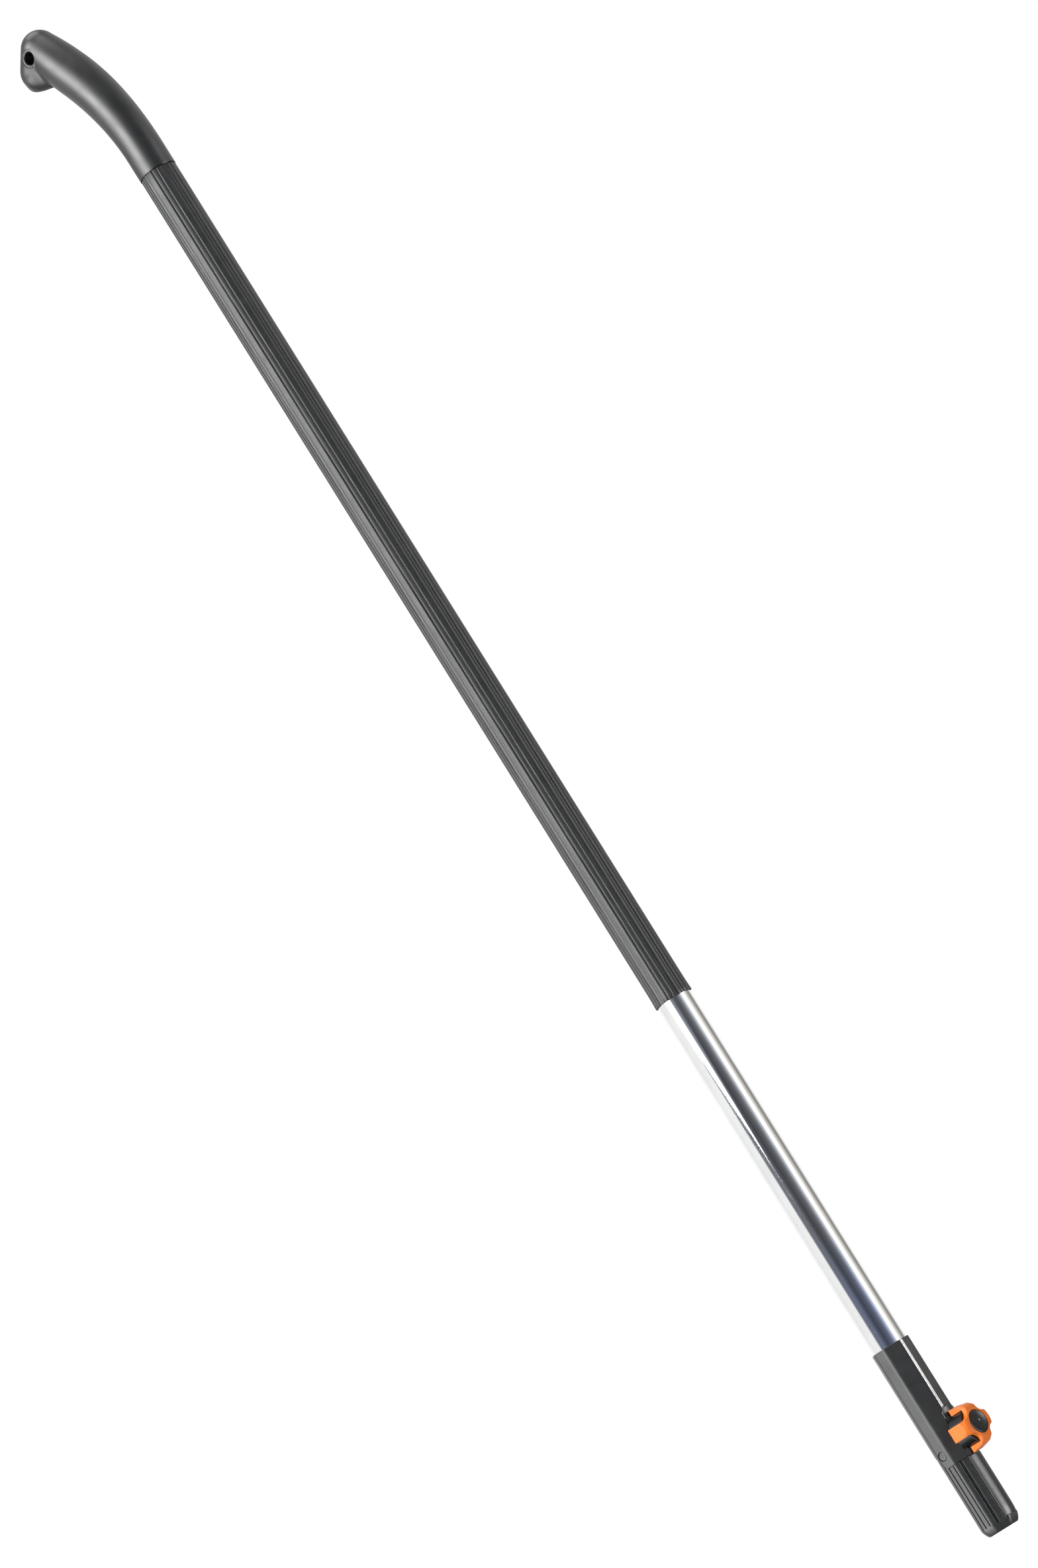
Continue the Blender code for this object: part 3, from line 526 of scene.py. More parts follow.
def turned(name, profile, steps=96, axis=Z, through=ORIGIN, hollow=False):
    """A turned piece from (radius, height) points. A hollow one's profile goes round its wall."""
    rings = [ring_points(radius, height, steps, axis, through) for radius, height in profile]
    return grid_solid(name, rings, closed_ends=not hollow)


def shifted(radius, place, offsets):
    """Profile points from (radius, height) offsets in mm."""
    return [(radius + out * MM, place + up * MM) for out, up in offsets]


def wall(outer, inner, low, high, edge, lengths=1):
    """A hollow piece's profile with broken edges, its outside divided into lengths."""
    first, last = low + edge, high - edge
    outside = [(outer, first + (last - first) * i / lengths) for i in range(lengths + 1)]
    return [(outer - edge, low), *outside, (outer - edge, high), (inner + edge, high),
            (inner, last), (inner, first), (inner + edge, low)]


def both_ends(profile):
    """A profile's upper end, mirrored below its middle to make the whole."""
    return [(radius, -place) for radius, place in profile] + profile[::-1]


def remeshed(item, voxel, smoothing):
    """One even skin with soft edges, from solids that may overlap."""
    remesh = item.modifiers.new("remesh", "REMESH")
    remesh.mode = "VOXEL"
    remesh.voxel_size = voxel
    smooth = item.modifiers.new("smooth", "SMOOTH")
    smooth.factor = SMOOTHING
    smooth.iterations = smoothing
    applied(item)


def soften(item, weight_of, iterations):
    """Smooth some of a mesh more, with weight_of(place) from 0 to 1."""
    group = item.vertex_groups.new(name="soft")
    for vertex in item.data.vertices:
        weight = weight_of(vertex.co)
        if weight > 0.0:
            group.add([vertex.index], weight, "REPLACE")
    smooth = item.modifiers.new("smooth", "SMOOTH")
    smooth.vertex_group = "soft"
    smooth.factor = SMOOTHING
    smooth.iterations = iterations
    applied(item)
    item.vertex_groups.clear()


def cleaned(item):
    """Weld a mesh and make its flat faces whole again after Booleans."""
    shape = bmesh.new()
    shape.from_mesh(item.data)
    bmesh.ops.remove_doubles(shape, verts=shape.verts, dist=WELD)
    bmesh.ops.dissolve_limit(shape, angle_limit=FLAT_WITHIN, verts=shape.verts, edges=shape.edges)
    shape.to_mesh(item.data)
    shape.free()
    return item


def cad_copy(node, name):
    """A CAD node's mesh as the start of a new piece."""
    return cleaned(add_object(name, NODES[node].data.copy()))


def bevelled(item, width, segments=3, angle=26.0):
    """Moulded edges: every crease gets a small radius."""
    bevel = item.modifiers.new("edges", "BEVEL")
    bevel.width = width
    bevel.segments = segments
    bevel.limit_method = "ANGLE"
    bevel.angle_limit = math.radians(angle)
    bevel.use_clamp_overlap = True
    bevel.miter_outer = "MITER_ARC"
    applied(item)
    return item


def finished(item, body, slot, *nodes, sharp=32.0, weighted=False):
    """Give a piece its finish and the body it moves with, and hide the CAD nodes it stands for."""
    item.data.materials.clear()
    item.data.materials.append(FINISH[slot])
    item.data.shade_smooth()
    item.data.set_sharp_from_angle(angle=math.radians(sharp))
    if weighted:
        modifier = item.modifiers.new("normals", "WEIGHTED_NORMAL")
        modifier.keep_sharp = True
        modifier.weight = 60
    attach(item, body)
    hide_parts(*nodes)


# --- Tube and sleeve ---
TUBE_WALL = 1.2 * MM
TUBE_CHAMFER = 0.25 * MM
TUBE_LENGTHS = 12


def make_tube():
    """Thin polished tube with its ends broken by a small chamfer."""
    low, high = span("pole_tube", Z)
    outer = span("pole_tube", X)[1]
    profile = wall(outer, outer - TUBE_WALL, low, high, TUBE_CHAMFER, TUBE_LENGTHS)
    item = turned("tube", profile, 160, hollow=True)
    finished(item, "pole", "polished_tube", "pole_tube", sharp=30.0)


# The sleeve's section in degrees round it and depths below its outer radius.
SLEEVE_REPEATS = 7
SLEEVE_GROOVE = 7.6
SLEEVE_GROOVE_WIDTH = 1.488
SLEEVE_GROOVE_DEPTH = 0.40 * MM
SLEEVE_RIB_CROWN = 0.10 * MM
SLEEVE_PANEL_DEPTH = 0.03 * MM
SLEEVE_PANEL_WAVE = 0.20 * MM
SLEEVE_PANEL_WAVES = 1.5
# Twist in degrees per metre, with the first rib at this angle and height.
SLEEVE_TWIST = -7.2
SLEEVE_PHASE = -53.5
SLEEVE_PHASE_Z = 0.464
SLEEVE_FLARE = 14.0 * MM
SLEEVE_FLARE_RISE = 0.35 * MM
SLEEVE_END = 0.5 * MM
SLEEVE_LIP = (0.12 * MM, 0.16 * MM)
SLEEVE_TOP_EDGE = 0.35 * MM
SLEEVE_STEPS = SLEEVE_REPEATS * 60
SLEEVE_LENGTHS = 44


def sleeve_depth(angle):
    """How far the sleeve's surface lies below its outer radius, at degrees from a rib's centre."""
    half = 360.0 / SLEEVE_REPEATS / 2.0
    away = abs((angle + half) % (2.0 * half) - half)
    groove = math.exp(-((away - SLEEVE_GROOVE) / SLEEVE_GROOVE_WIDTH) ** 2) * SLEEVE_GROOVE_DEPTH
    if away < SLEEVE_GROOVE:
        return groove + SLEEVE_RIB_CROWN * (away / SLEEVE_GROOVE) ** 2
    along = (away - SLEEVE_GROOVE) / (half - SLEEVE_GROOVE)
    wave = 0.5 - 0.5 * math.cos(2.0 * math.pi * SLEEVE_PANEL_WAVES * (1.0 - along))
    return groove + SLEEVE_PANEL_DEPTH + SLEEVE_PANEL_WAVE * wave


def make_sleeve():
    """Extruded sleeve: ribs between pairs of grooves, low ribs on each panel, slightly twisted."""
    low, high = span("grip_sleeve", Z)
    flare_r = span("grip_sleeve", X)[1]
    plain_r = flare_r - SLEEVE_FLARE_RISE
    inner_r = span("pole_tube", X)[1] + GAP

    def outline(height, lower=0.0):
        swell = max(0.0, 1.0 - (height - low) / SLEEVE_FLARE)
        radius = plain_r + (flare_r - plain_r) * swell * swell
        twist = SLEEVE_PHASE + SLEEVE_TWIST * (height - SLEEVE_PHASE_Z)
        points = []
        for i in range(SLEEVE_STEPS):
            angle = 360.0 * i / SLEEVE_STEPS
            reach = radius - sleeve_depth(angle - twist) - lower
            turn = math.radians(angle)
            points.append((reach * math.cos(turn), reach * math.sin(turn), height))
        return points

    straight = low + SLEEVE_FLARE
    heights = [low + SLEEVE_END, *(low + share * SLEEVE_FLARE for share in (0.25, 0.5, 0.75, 1.0))]
    heights += [straight + (high - SLEEVE_END - straight) * i / SLEEVE_LENGTHS
                for i in range(1, SLEEVE_LENGTHS + 1)]
    rings = [ring_points(inner_r, low, SLEEVE_STEPS), outline(low, SLEEVE_END),
             outline(low + SLEEVE_LIP[0], SLEEVE_LIP[1])]
    rings += [outline(height) for height in heights]
    rings += [outline(high, SLEEVE_TOP_EDGE), ring_points(inner_r, high, SLEEVE_STEPS)]
    item = grid_solid("sleeve", rings, closed_ends=False)
    finished(item, "pole", "sleeve_plastic", "grip_sleeve", sharp=40.0)


# --- Moulded grip ---
GRIP_R = 14.8 * MM
GRIP_SHOULDER_R = 16.7 * MM
GRIP_END_R = 14.25 * MM
BEND_RADIUS = 205.8 * MM
BEND_ANGLE = math.radians(25.8)
BEND_RISE = 16.9 * MM
NECK_OVERHANG = 2.0 * MM
NECK_STEPS = 96
NECK_LENGTHS = 40
CROWN_LENGTHS = 12
CROWN_LEAN = 0.3
CROWN_TAPER = 1.8
# The head's balls as (x, height above the rim, radius) in mm, from the crown to the beak's ends.
GRIP_BALLS = ((-33.5, 136.1, 14.4), (-45.6, 124.2, 14.5), (-53.3, 120.8, 8.0), (-38.8, 116.6, 9.9))
GRIP_VOXEL = 0.55 * MM
GRIP_FINE_VOXEL = GRIP_VOXEL * 0.8
# How often the grip's skin is smoothed: whole, in the crook, round the ring, round the bore.
GRIP_SMOOTHING = 34
CROOK_SMOOTHING = 220
RING_SMOOTHING = 5
BORE_SMOOTHING = 3
# The crook under the beak, softened more than the rest, as (x, y, height above the rim).
CROOK_START = Vector((-46.0, 0.0, 130.0)) * MM
CROOK_END = Vector((-30.0, 0.0, 112.0)) * MM
CROOK_REACH = 15.0 * MM
CROOK_SIDE_Y = 5.0 * MM
HANG_HOLE = (-35.3 * MM, 130.7 * MM)
HANG_HOLE_R = 4.75 * MM
HANG_MOUTH = 0.7 * MM
HANG_RING_R = 6.3 * MM
HANG_RING_Y = 15.2 * MM
HANG_RING_SINK = 0.1 * MM
HANG_RING_EDGE = ((1.2, -1.4), (0.0, -0.3), (-0.5, 0.0))
HANG_BORE_EDGE = ((0.15, -0.7), (0.0, -1.2))
PLUG_FLANGE_DROP = 28.8 * MM
PLUG_SPINE_R = 9.3 * MM
SOCKET_START = 5.0 * MM


def grip_neck(rim):
    """The bent round neck, as rings square to its centreline, run on below the rim."""
    centres = [(0.0, height, 0.0, GRIP_R)
               for height in (-NECK_OVERHANG, BEND_RISE * 0.5, BEND_RISE)]
    for i in range(1, NECK_LENGTHS + 1):
        share = i / NECK_LENGTHS
        angle = BEND_ANGLE * share
        radius = GRIP_R + (GRIP_SHOULDER_R - GRIP_R) * (3.0 - 2.0 * share) * share ** 2
        x = -BEND_RADIUS * (1.0 - math.cos(angle))
        centres.append((x, BEND_RISE + BEND_RADIUS * math.sin(angle), angle, radius))
    bend_x, bend_z, _, _ = centres[-1]
    crown_x, crown_z = (place * MM for place in GRIP_BALLS[0][:2])
    for i in range(1, CROWN_LENGTHS + 1):
        share = i / CROWN_LENGTHS
        lean = BEND_ANGLE * (1.0 + CROWN_LEAN * share)
        radius = GRIP_SHOULDER_R + (GRIP_END_R - GRIP_SHOULDER_R) * share ** CROWN_TAPER
        centres.append((bend_x + (crown_x - bend_x) * share, bend_z + (crown_z - bend_z) * share,
                        lean, radius))
    rings = []
    for x, z, lean, radius in centres:
        flat = ring_points(radius, 0.0, NECK_STEPS)
        rings.append([(x + across * math.cos(lean), y, rim + z + across * math.sin(lean))
                      for across, y, _ in flat])
    return grid_solid("neck", rings)


def grip_head(rim):
    """The hull of four balls, from the crown down to the two ends of the beak."""
    shape = bmesh.new()
    poles_along_y = Matrix.Rotation(math.pi / 2.0, 4, "X")
    for x, z, radius in GRIP_BALLS:
        place = Matrix.Translation((x * MM, 0.0, rim + z * MM)) @ poles_along_y
        bmesh.ops.create_uvsphere(shape, u_segments=72, v_segments=36, radius=radius * MM,
                                  matrix=place)
    points = [vertex.co.copy() for vertex in shape.verts]
    shape.clear()
    for point in points:
        shape.verts.new(point)
    bmesh.ops.convex_hull(shape, input=shape.verts, use_existing_faces=False)
    loose = [vertex for vertex in shape.verts if not vertex.link_faces]
    bmesh.ops.delete(shape, geom=loose, context="VERTS")
    return from_shape("head", shape)


def make_grip():
    """Moulded end grip: beaked head, hanging hole with a soft raised rim, and its sockets."""
    rim = span("end_grip", Z)[0]
    side_y = span("end_grip", Y)[1]
    hole = (HANG_HOLE[0], 0.0, rim + HANG_HOLE[1])
    grip = grip_neck(rim)
    joined(grip, grip_head(rim))
    remeshed(grip, GRIP_VOXEL, GRIP_SMOOTHING)

    def in_crook(place):
        flat, crook = Vector((place.x, 0.0, place.z - rim)), CROOK_END - CROOK_START
        along = min(1.0, max(0.0, (flat - CROOK_START).dot(crook) / crook.length_squared))
        away = (flat - CROOK_START.lerp(CROOK_END, along)).length
        return max(0.0, 1.0 - away / CROOK_REACH) if abs(place.y) > CROOK_SIDE_Y else 0.0

    soften(grip, in_crook, CROOK_SMOOTHING)
    face = min(side_y, HANG_RING_Y) - HANG_RING_SINK
    collar = shifted(HANG_RING_R, face, HANG_RING_EDGE)
    joined(grip, turned("collar", both_ends(collar), 64, Y, hole))
    remeshed(grip, GRIP_FINE_VOXEL, RING_SMOOTHING)
    mouth = HANG_HOLE_R + HANG_MOUTH
    bore = [(mouth + 1.5 * MM, 2.0 * side_y), (mouth + 0.2 * MM, face + 0.2 * MM),
            *shifted(HANG_HOLE_R, face, HANG_BORE_EDGE)]
    cut(grip, turned("bore", both_ends(bore), 64, Y, hole))
    remeshed(grip, GRIP_FINE_VOXEL, BORE_SMOOTHING)
    start = rim - SOCKET_START
    cut(grip, block((-REACH, -REACH, start), (REACH, REACH, rim)))
    tube_socket = span("pole_tube", X)[1] + GAP
    plug_top = span("grip_plug", Z)[1]
    flange_top, spine_top = plug_top - PLUG_FLANGE_DROP + GAP, plug_top + GAP
    socket = [(tube_socket, start), (tube_socket, flange_top), (PLUG_SPINE_R, flange_top),
              (PLUG_SPINE_R, spine_top)]
    cut(grip, turned("socket", socket, 96))
    grip.name = "grip"
    finished(grip, "pole", "grip_plastic", "end_grip", sharp=40.0)


# --- Coupling ---
CORNER_ANGLES = (20.0, 72.0, 108.0, 160.0, 200.0, 252.0, 288.0, 340.0)
HOUSING_CORNER_R = 15.75 * MM
HOUSING_FILLET = 5.0 * MM
SPIGOT_CORNER_R = 15.4 * MM
SPIGOT_FILLET = 3.5 * MM
SPIGOT_ROUND_R = 14.3 * MM
# The spigot's lower end as (height in mm, scale, how far from octagon to circle).
SPIGOT_TIP = ((0.0, 0.785, 0.75), (0.12, 0.808, 0.75), (0.40, 0.835, 0.74), (1.4, 0.885, 0.66),
              (2.6, 0.930, 0.50), (4.0, 0.966, 0.28), (5.3, 0.989, 0.10), (6.7, 1.0, 0.0))
SHOULDER_Z = 55.0 * MM
RIB_START_Z = 6.0 * MM
KEY_START_Z = 5.2 * MM
KEY_SEAT_Z = 6.6 * MM
KEY_SEAT_X = 12.5 * MM
KEY_R = 14.9 * MM
KEY_TOP_DROP = 0.1 * MM
SLOT_MOUTH_R = 0.45 * MM
SLOT_RUN_OUT = 0.7 * MM
SLOT_START_DEPTH = 0.03 * MM
SLOT_MOUTH_DEGREES = (0.0, 25.0, 50.0, 70.0)
SLOT_OVERHANG = 0.4 * MM
CHANNEL_HALF = 7.0 * MM
CHANNEL_FLOOR_X = 8.7 * MM
CHANNEL_ARCH_R = 15.1 * MM
CHANNEL_STEPS = 16
RAMP_R = 15.6 * MM
RAMP_HALF = 6.9 * MM
RAMP_RISE = 3.8 * MM
CORE_R = 12.3 * MM
CORE_TOP_Z = 97.0 * MM
STUB_R = 11.7 * MM
STUB_TOP_Z = 135.0 * MM
CROSS_BORE_R = 5.7 * MM
CROSS_BORE_START_X = -13.0 * MM
PIN_PLACE = (-0.5 * MM, 0.0, 63.8 * MM)
PIN_HOLE_R = 1.6 * MM
PIN_POCKET_R = 3.5 * MM
PIN_POCKET_DEPTH = 1.5 * MM
BACK_CUT_X = -1.5 * MM
BACK_CUT_SLOPE = math.tan(math.radians(41.0))
# Levels as (height, scale) where the housing's rims are rounded, and the key's lower end as
# (radius, height) offsets, both in mm.
HOUSING_RIM = ((0.0, 0.984), (0.15, 0.994), (0.45, 1.0))
KEY_LOWER_END = ((-1.7, 0.0), (-0.85, 1.4), (-0.45, 2.8), (-0.20, 4.6), (-0.06, 6.8), (0.0, 9.4))
KEY_TOP_EDGE = ((0.0, -0.5), (-0.35, 0.0))
RIVET_SHANK_R = 1.3 * MM
RIVET_HEAD_DEPTH = 1.0 * MM
RIVET_FACE = ((0.2, -0.05), (0.7, -0.02), (2.4, -0.02))
RIVET_EDGE = ((-0.35, -0.08), (-0.08, -0.30), (0.0, -0.55))

# Slots between the spigot's ribs, face by face from the label side round to the back: the face's
# two corners, then each slot's distance from the first corner, width and depth in mm.
SLOT_FACES = (
    (7, 6, ((2.7, 0.6, 0.9), (8.6, 2.1, 1.8))),
    (6, 5, ((1.7, 0.5, 0.8), (5.9, 0.5, 0.8), (9.0, 0.4, 0.8))),
    (5, 4, ((3.2, 0.5, 0.8), (7.4, 0.5, 0.8), (11.6, 0.5, 0.8))),
)


def octagon_corner(radius, index):
    angle = math.radians(CORNER_ANGLES[index % len(CORNER_ANGLES)])
    return Vector((radius * math.cos(angle), radius * math.sin(angle)))


def soft_octagon(radius, fillet, steps=7):
    """The coupling's section with its corners rounded."""
    outline = []
    for i in range(len(CORNER_ANGLES)):
        corner = octagon_corner(radius, i)
        back = (octagon_corner(radius, i - 1) - corner).normalized()
        onward = (octagon_corner(radius, i + 1) - corner).normalized()
        half = back.angle(onward) / 2.0
        reach = fillet / math.tan(half)
        centre = corner + (back + onward).normalized() * fillet / math.sin(half)
        start = corner + back * reach - centre
        first = math.atan2(start.y, start.x)
        sweep = math.pi - 2.0 * half
        for step in range(steps + 1):
            angle = first + sweep * step / steps
            outline.append(centre + Vector((math.cos(angle), math.sin(angle))) * fillet)
    return outline


def upright(outline, levels):
    """A solid through scaled copies of one (x, y) outline, as (height, scale) levels."""
    return grid_solid("upright", [[(x * size, y * size, z) for x, y in outline]
                                  for z, size in levels])


def along_y(outline):
    """An (x, z) outline carried right across the coupling."""
    return grid_solid("across", [[(x, y, z) for x, z in outline] for y in (-REACH, REACH)])


def along_x(outline, start, end):
    """A (y, z) outline carried from start to end along the knob's axis."""
    return grid_solid("through", [[(x, y, z) for y, z in outline] for x in (start, end)])


def block(low, high):
    """A box between two corners."""
    shape = bmesh.new()
    bmesh.ops.create_cube(shape, size=1.0)
    bmesh.ops.scale(shape, vec=Vector(high) - Vector(low), verts=shape.verts)
    bmesh.ops.translate(shape, vec=(Vector(high) + Vector(low)) / 2.0, verts=shape.verts)
    return from_shape("block", shape)


def rod(radius, start, end, axis, through, steps=64):
    return turned("rod", [(radius, start), (radius, end)], steps, axis, through)


def rear_line(front_z, offset):
    """The joint between housing and spigot as (x, z), level in front and climbing to the back."""
    return [(REACH, front_z), (BACK_CUT_X, front_z),
            (BACK_CUT_X - REACH, SHOULDER_Z + offset + REACH * BACK_CUT_SLOPE)]


def slot_cutter(middle, onward, outward, width, depth, top_z):
    """A slot's shape: straight walls, a mouth rounded over the ribs and a run-out at its foot."""
    half = width / 2.0
    profile = [(-depth, half)]
    for angle in map(math.radians, SLOT_MOUTH_DEGREES):
        profile.append((SLOT_MOUTH_R * (math.sin(angle) - 1.0),
                        half + SLOT_MOUTH_R * (1.0 - math.cos(angle))))
    low, wide = profile[-1]
    flare = math.tan(math.radians(90.0 - SLOT_MOUTH_DEGREES[-1]))
    profile.append((SLOT_OVERHANG, wide + (SLOT_OVERHANG - low) / flare))
    outline = [(out, -along) for out, along in profile] + profile[::-1]
    levels = ((RIB_START_Z, SLOT_START_DEPTH / depth), (RIB_START_Z + SLOT_RUN_OUT, 1.0),
              (top_z, 1.0))
    rings = []
    for height, share in levels:
        places = [middle + outward * (out * share if out < 0.0 else out) + onward * along
                  for out, along in outline]
        rings.append([(place.x, place.y, height) for place in places])
    return grid_solid("slot", rings)


def cut_rib_slots(body, top_z):
    """Slots between the ribs on three faces, mirrored to the other side."""
    for first, second, places in SLOT_FACES:
        for side in (1.0, -1.0):
            mirror = Vector((1.0, side))
            start = octagon_corner(SPIGOT_CORNER_R, first) * mirror
            end = octagon_corner(SPIGOT_CORNER_R, second) * mirror
            onward = (end - start).normalized()
            outward = Vector((onward.y, -onward.x))
            if outward.dot(start) < 0.0:
                outward.negate()
            for distance, width, depth in places:
                middle = start + onward * distance * MM
                slot = slot_cutter(middle, onward, outward, width * MM, depth * MM, top_z)
                cut(body, slot)


def make_spigot():
    """Ribbed spigot with its smooth key, a round core inside the housing and a stub up the tube."""
    top_z = SHOULDER_Z + REACH
    outline = soft_octagon(SPIGOT_CORNER_R, SPIGOT_FILLET)
    rings = []
    for height, size, roundness in (*SPIGOT_TIP, (top_z / MM, 1.0, 0.0)):
        blend = [corner.lerp(corner.normalized() * SPIGOT_ROUND_R, roundness) * size
                 for corner in outline]
        rings.append([(x, y, height * MM) for x, y in blend])
    body = grid_solid("spigot", rings)
    above = rear_line(SHOULDER_Z - GAP, -1.4 * GAP)
    above += [(above[-1][0], 2.0 * top_z), (REACH, 2.0 * top_z)]
    cut(body, along_y(above))
    cut_rib_slots(body, top_z)
    seat = block((KEY_SEAT_X, -CHANNEL_HALF, KEY_SEAT_Z), (2.0 * KEY_R, CHANNEL_HALF, top_z))
    cut(body, seat)
    key_top = SHOULDER_Z - GAP - KEY_TOP_DROP
    key_side = CHANNEL_HALF - GAP
    key = turned("key", shifted(KEY_R, KEY_START_Z, KEY_LOWER_END)
                 + shifted(KEY_R, key_top, KEY_TOP_EDGE), 128)
    combined(key, block((MM, -key_side, 0.0), (2.0 * KEY_R, key_side, SHOULDER_Z)), "INTERSECT")
    combined(body, key, "UNION")
    core = turned("core", [(STUB_R - MM, STUB_TOP_Z), (STUB_R, STUB_TOP_Z - MM),
                           (STUB_R, CORE_TOP_Z), (CORE_R, CORE_TOP_Z),
                           (CORE_R, SHOULDER_Z - 5.0 * MM)], 96)
    flat = block((CHANNEL_FLOOR_X, -REACH, SHOULDER_Z - MM),
                 (REACH, REACH, KNOB_Z + CHANNEL_ARCH_R + MM))
    cut(core, flat)
    combined(body, core, "UNION")
    cut(body, rod(CROSS_BORE_R, CROSS_BORE_START_X, REACH, X, KNOB_CENTRE))
    cut(body, rod(PIN_HOLE_R, -REACH, REACH, Y, PIN_PLACE, 32))
    body.name = "lower_spigot"
    bevelled(cleaned(body), 0.16 * MM, 2, 34.0)
    finished(body, "pole", "coupling_nylon", "spigot", weighted=True)


def make_housing():
    """Faceted shell with soft corners, the key channel under the knob, the ramp above it."""
    top_z = span("coupling_housing", Z)[1]
    ramp_top = span("stripe_inlay", Z)[0] - 2.0 * GAP
    tube_r = span("pole_tube", X)[1]
    levels = [(SHOULDER_Z + height * MM, size) for height, size in HOUSING_RIM]
    levels += [(top_z - height * MM, size) for height, size in reversed(HOUSING_RIM)]
    shell = upright(soft_octagon(HOUSING_CORNER_R, HOUSING_FILLET), levels)
    arch = [(RAMP_HALF * math.cos(angle), ramp_top - RAMP_RISE + RAMP_RISE * math.sin(angle))
            for angle in map(math.radians, range(0, 181, 10))]
    ramp = rod(RAMP_R, KNOB_Z, top_z, Z, ORIGIN, 160)
    feet = [(-RAMP_HALF, SHOULDER_Z), (RAMP_HALF, SHOULDER_Z)]
    combined(ramp, along_x(feet + arch, tube_r, REACH), "INTERSECT")
    combined(shell, ramp, "UNION")
    below = rear_line(SHOULDER_Z, 0.0)[1:]
    cut(shell, along_y(below + [(below[-1][0], 0.0), (BACK_CUT_X, 0.0)]))
    half_arch = math.degrees(math.asin(CHANNEL_HALF / CHANNEL_ARCH_R))
    channel = [(-CHANNEL_HALF, 0.0), (CHANNEL_HALF, 0.0)]
    for i in range(CHANNEL_STEPS + 1):
        angle = math.radians(90.0 - half_arch + 2.0 * half_arch * i / CHANNEL_STEPS)
        channel.append((CHANNEL_ARCH_R * math.cos(angle),
                        KNOB_Z + CHANNEL_ARCH_R * math.sin(angle)))
    cut(shell, along_x(channel, MM, REACH))
    cut(shell, rod(tube_r + GAP, CORE_TOP_Z + GAP, 2.0 * top_z, Z, ORIGIN, 128))
    cut(shell, rod(CORE_R + GAP, 0.0, CORE_TOP_Z + MM, Z, ORIGIN, 128))
    stripe_low, stripe_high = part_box("stripe_inlay")
    pocket = block((stripe_low.x - GAP, stripe_low.y - GAP, stripe_low.z - GAP),
                   (REACH, stripe_high.y + GAP, 2.0 * top_z))
    cut(shell, pocket)
    side_y = HOUSING_CORNER_R * math.sin(math.radians(CORNER_ANGLES[1]))
    for side in (1.0, -1.0):
        ends = sorted((side * (side_y - PIN_POCKET_DEPTH), side * REACH))
        cut(shell, rod(PIN_POCKET_R, *ends, Y, PIN_PLACE))
    cut(shell, rod(PIN_HOLE_R, -REACH, REACH, Y, PIN_PLACE, 32))
    shell.name = "housing"
    bevelled(cleaned(shell), 0.28 * MM)
    finished(shell, "pole", "coupling_nylon", "coupling_housing", weighted=True)


def make_stripe():
    item = bevelled(cad_copy("stripe_inlay", "stripe"), 0.12 * MM, 2)
    finished(item, "pole", "silver_trim", "stripe_inlay", weighted=True)


def make_rivet():
    """Cross rivet with a flat, softly edged head on each side."""
    side_y = span("coupling_rivet", Y)[1]
    x_low, x_high = span("coupling_rivet", X)
    head_r = (x_high - x_low) / 2.0
    through = ((x_low + x_high) / 2.0, 0.0, span("coupling_rivet", Z)[1] - head_r)
    back = side_y - RIVET_HEAD_DEPTH
    side = [*shifted(0.0, side_y, RIVET_FACE), *shifted(head_r, side_y, RIVET_EDGE),
            (head_r, back), (RIVET_SHANK_R, back)]
    item = turned("rivet", both_ends(side), 64, Y, through)
    finished(item, "pole", "coupling_nylon", "coupling_rivet", sharp=60.0)


# --- Clamp knob ---
LOBE_BASE_X = 17.6 * MM
PLATE_BACK_X = 27.8 * MM
VALLEY_CENTRE = 11.74 * MM
VALLEY_R = 6.2 * MM
LOBE_BASE_R = 16.9 * MM
LOBE_FACE_R = 14.2 * MM
LOBE_BASE_HALF = 5.3 * MM
LOBE_FACE_HALF = 5.1 * MM
FACE_EDGE_R = 12.9 * MM
FACE_EDGE_SLOPE = 0.64
FACE_ROUNDING = ((-0.1, -0.35), (-1.1, 0.0))
LOBE_CORNER = (0.4 * MM, 1.3 * MM, 1.6 * MM)
LOBE_ROOT = 8.4 * MM
LOBE_FACE_INSET = 0.2 * MM
VALLEY_STEPS = 24
ENVELOPE_RUN = 2.0 * MM
KNOB_VOXEL = 0.26 * MM
KNOB_SMOOTHING = 6
FACE_SMOOTHING = 34
# The face's edge, softened more than the rest: over this depth, outside this radius.
SOFT_FACE_DEPTH = 4.0 * MM
SOFT_FACE_FADE = 2.0 * MM
SOFT_FACE_R = 6.0 * MM
WINDOW_DEPTH = 0.5 * MM
COVER_SEAT_R = 8.7 * MM
COVER_SEAT_EDGE = ((0.0, -0.45), (0.45, 0.1))
COVER_EDGE = ((0.0, -0.45), (-0.12, -0.15), (-0.45, -0.02), (-0.75, -0.04), (-1.1, -0.12))
COVER_DIMPLE = ((2.2, -0.13), (0.75, -0.13), (0.5, -0.3), (0.4, -1.0))
COVER_BACK_CHAMFER = 0.2 * MM


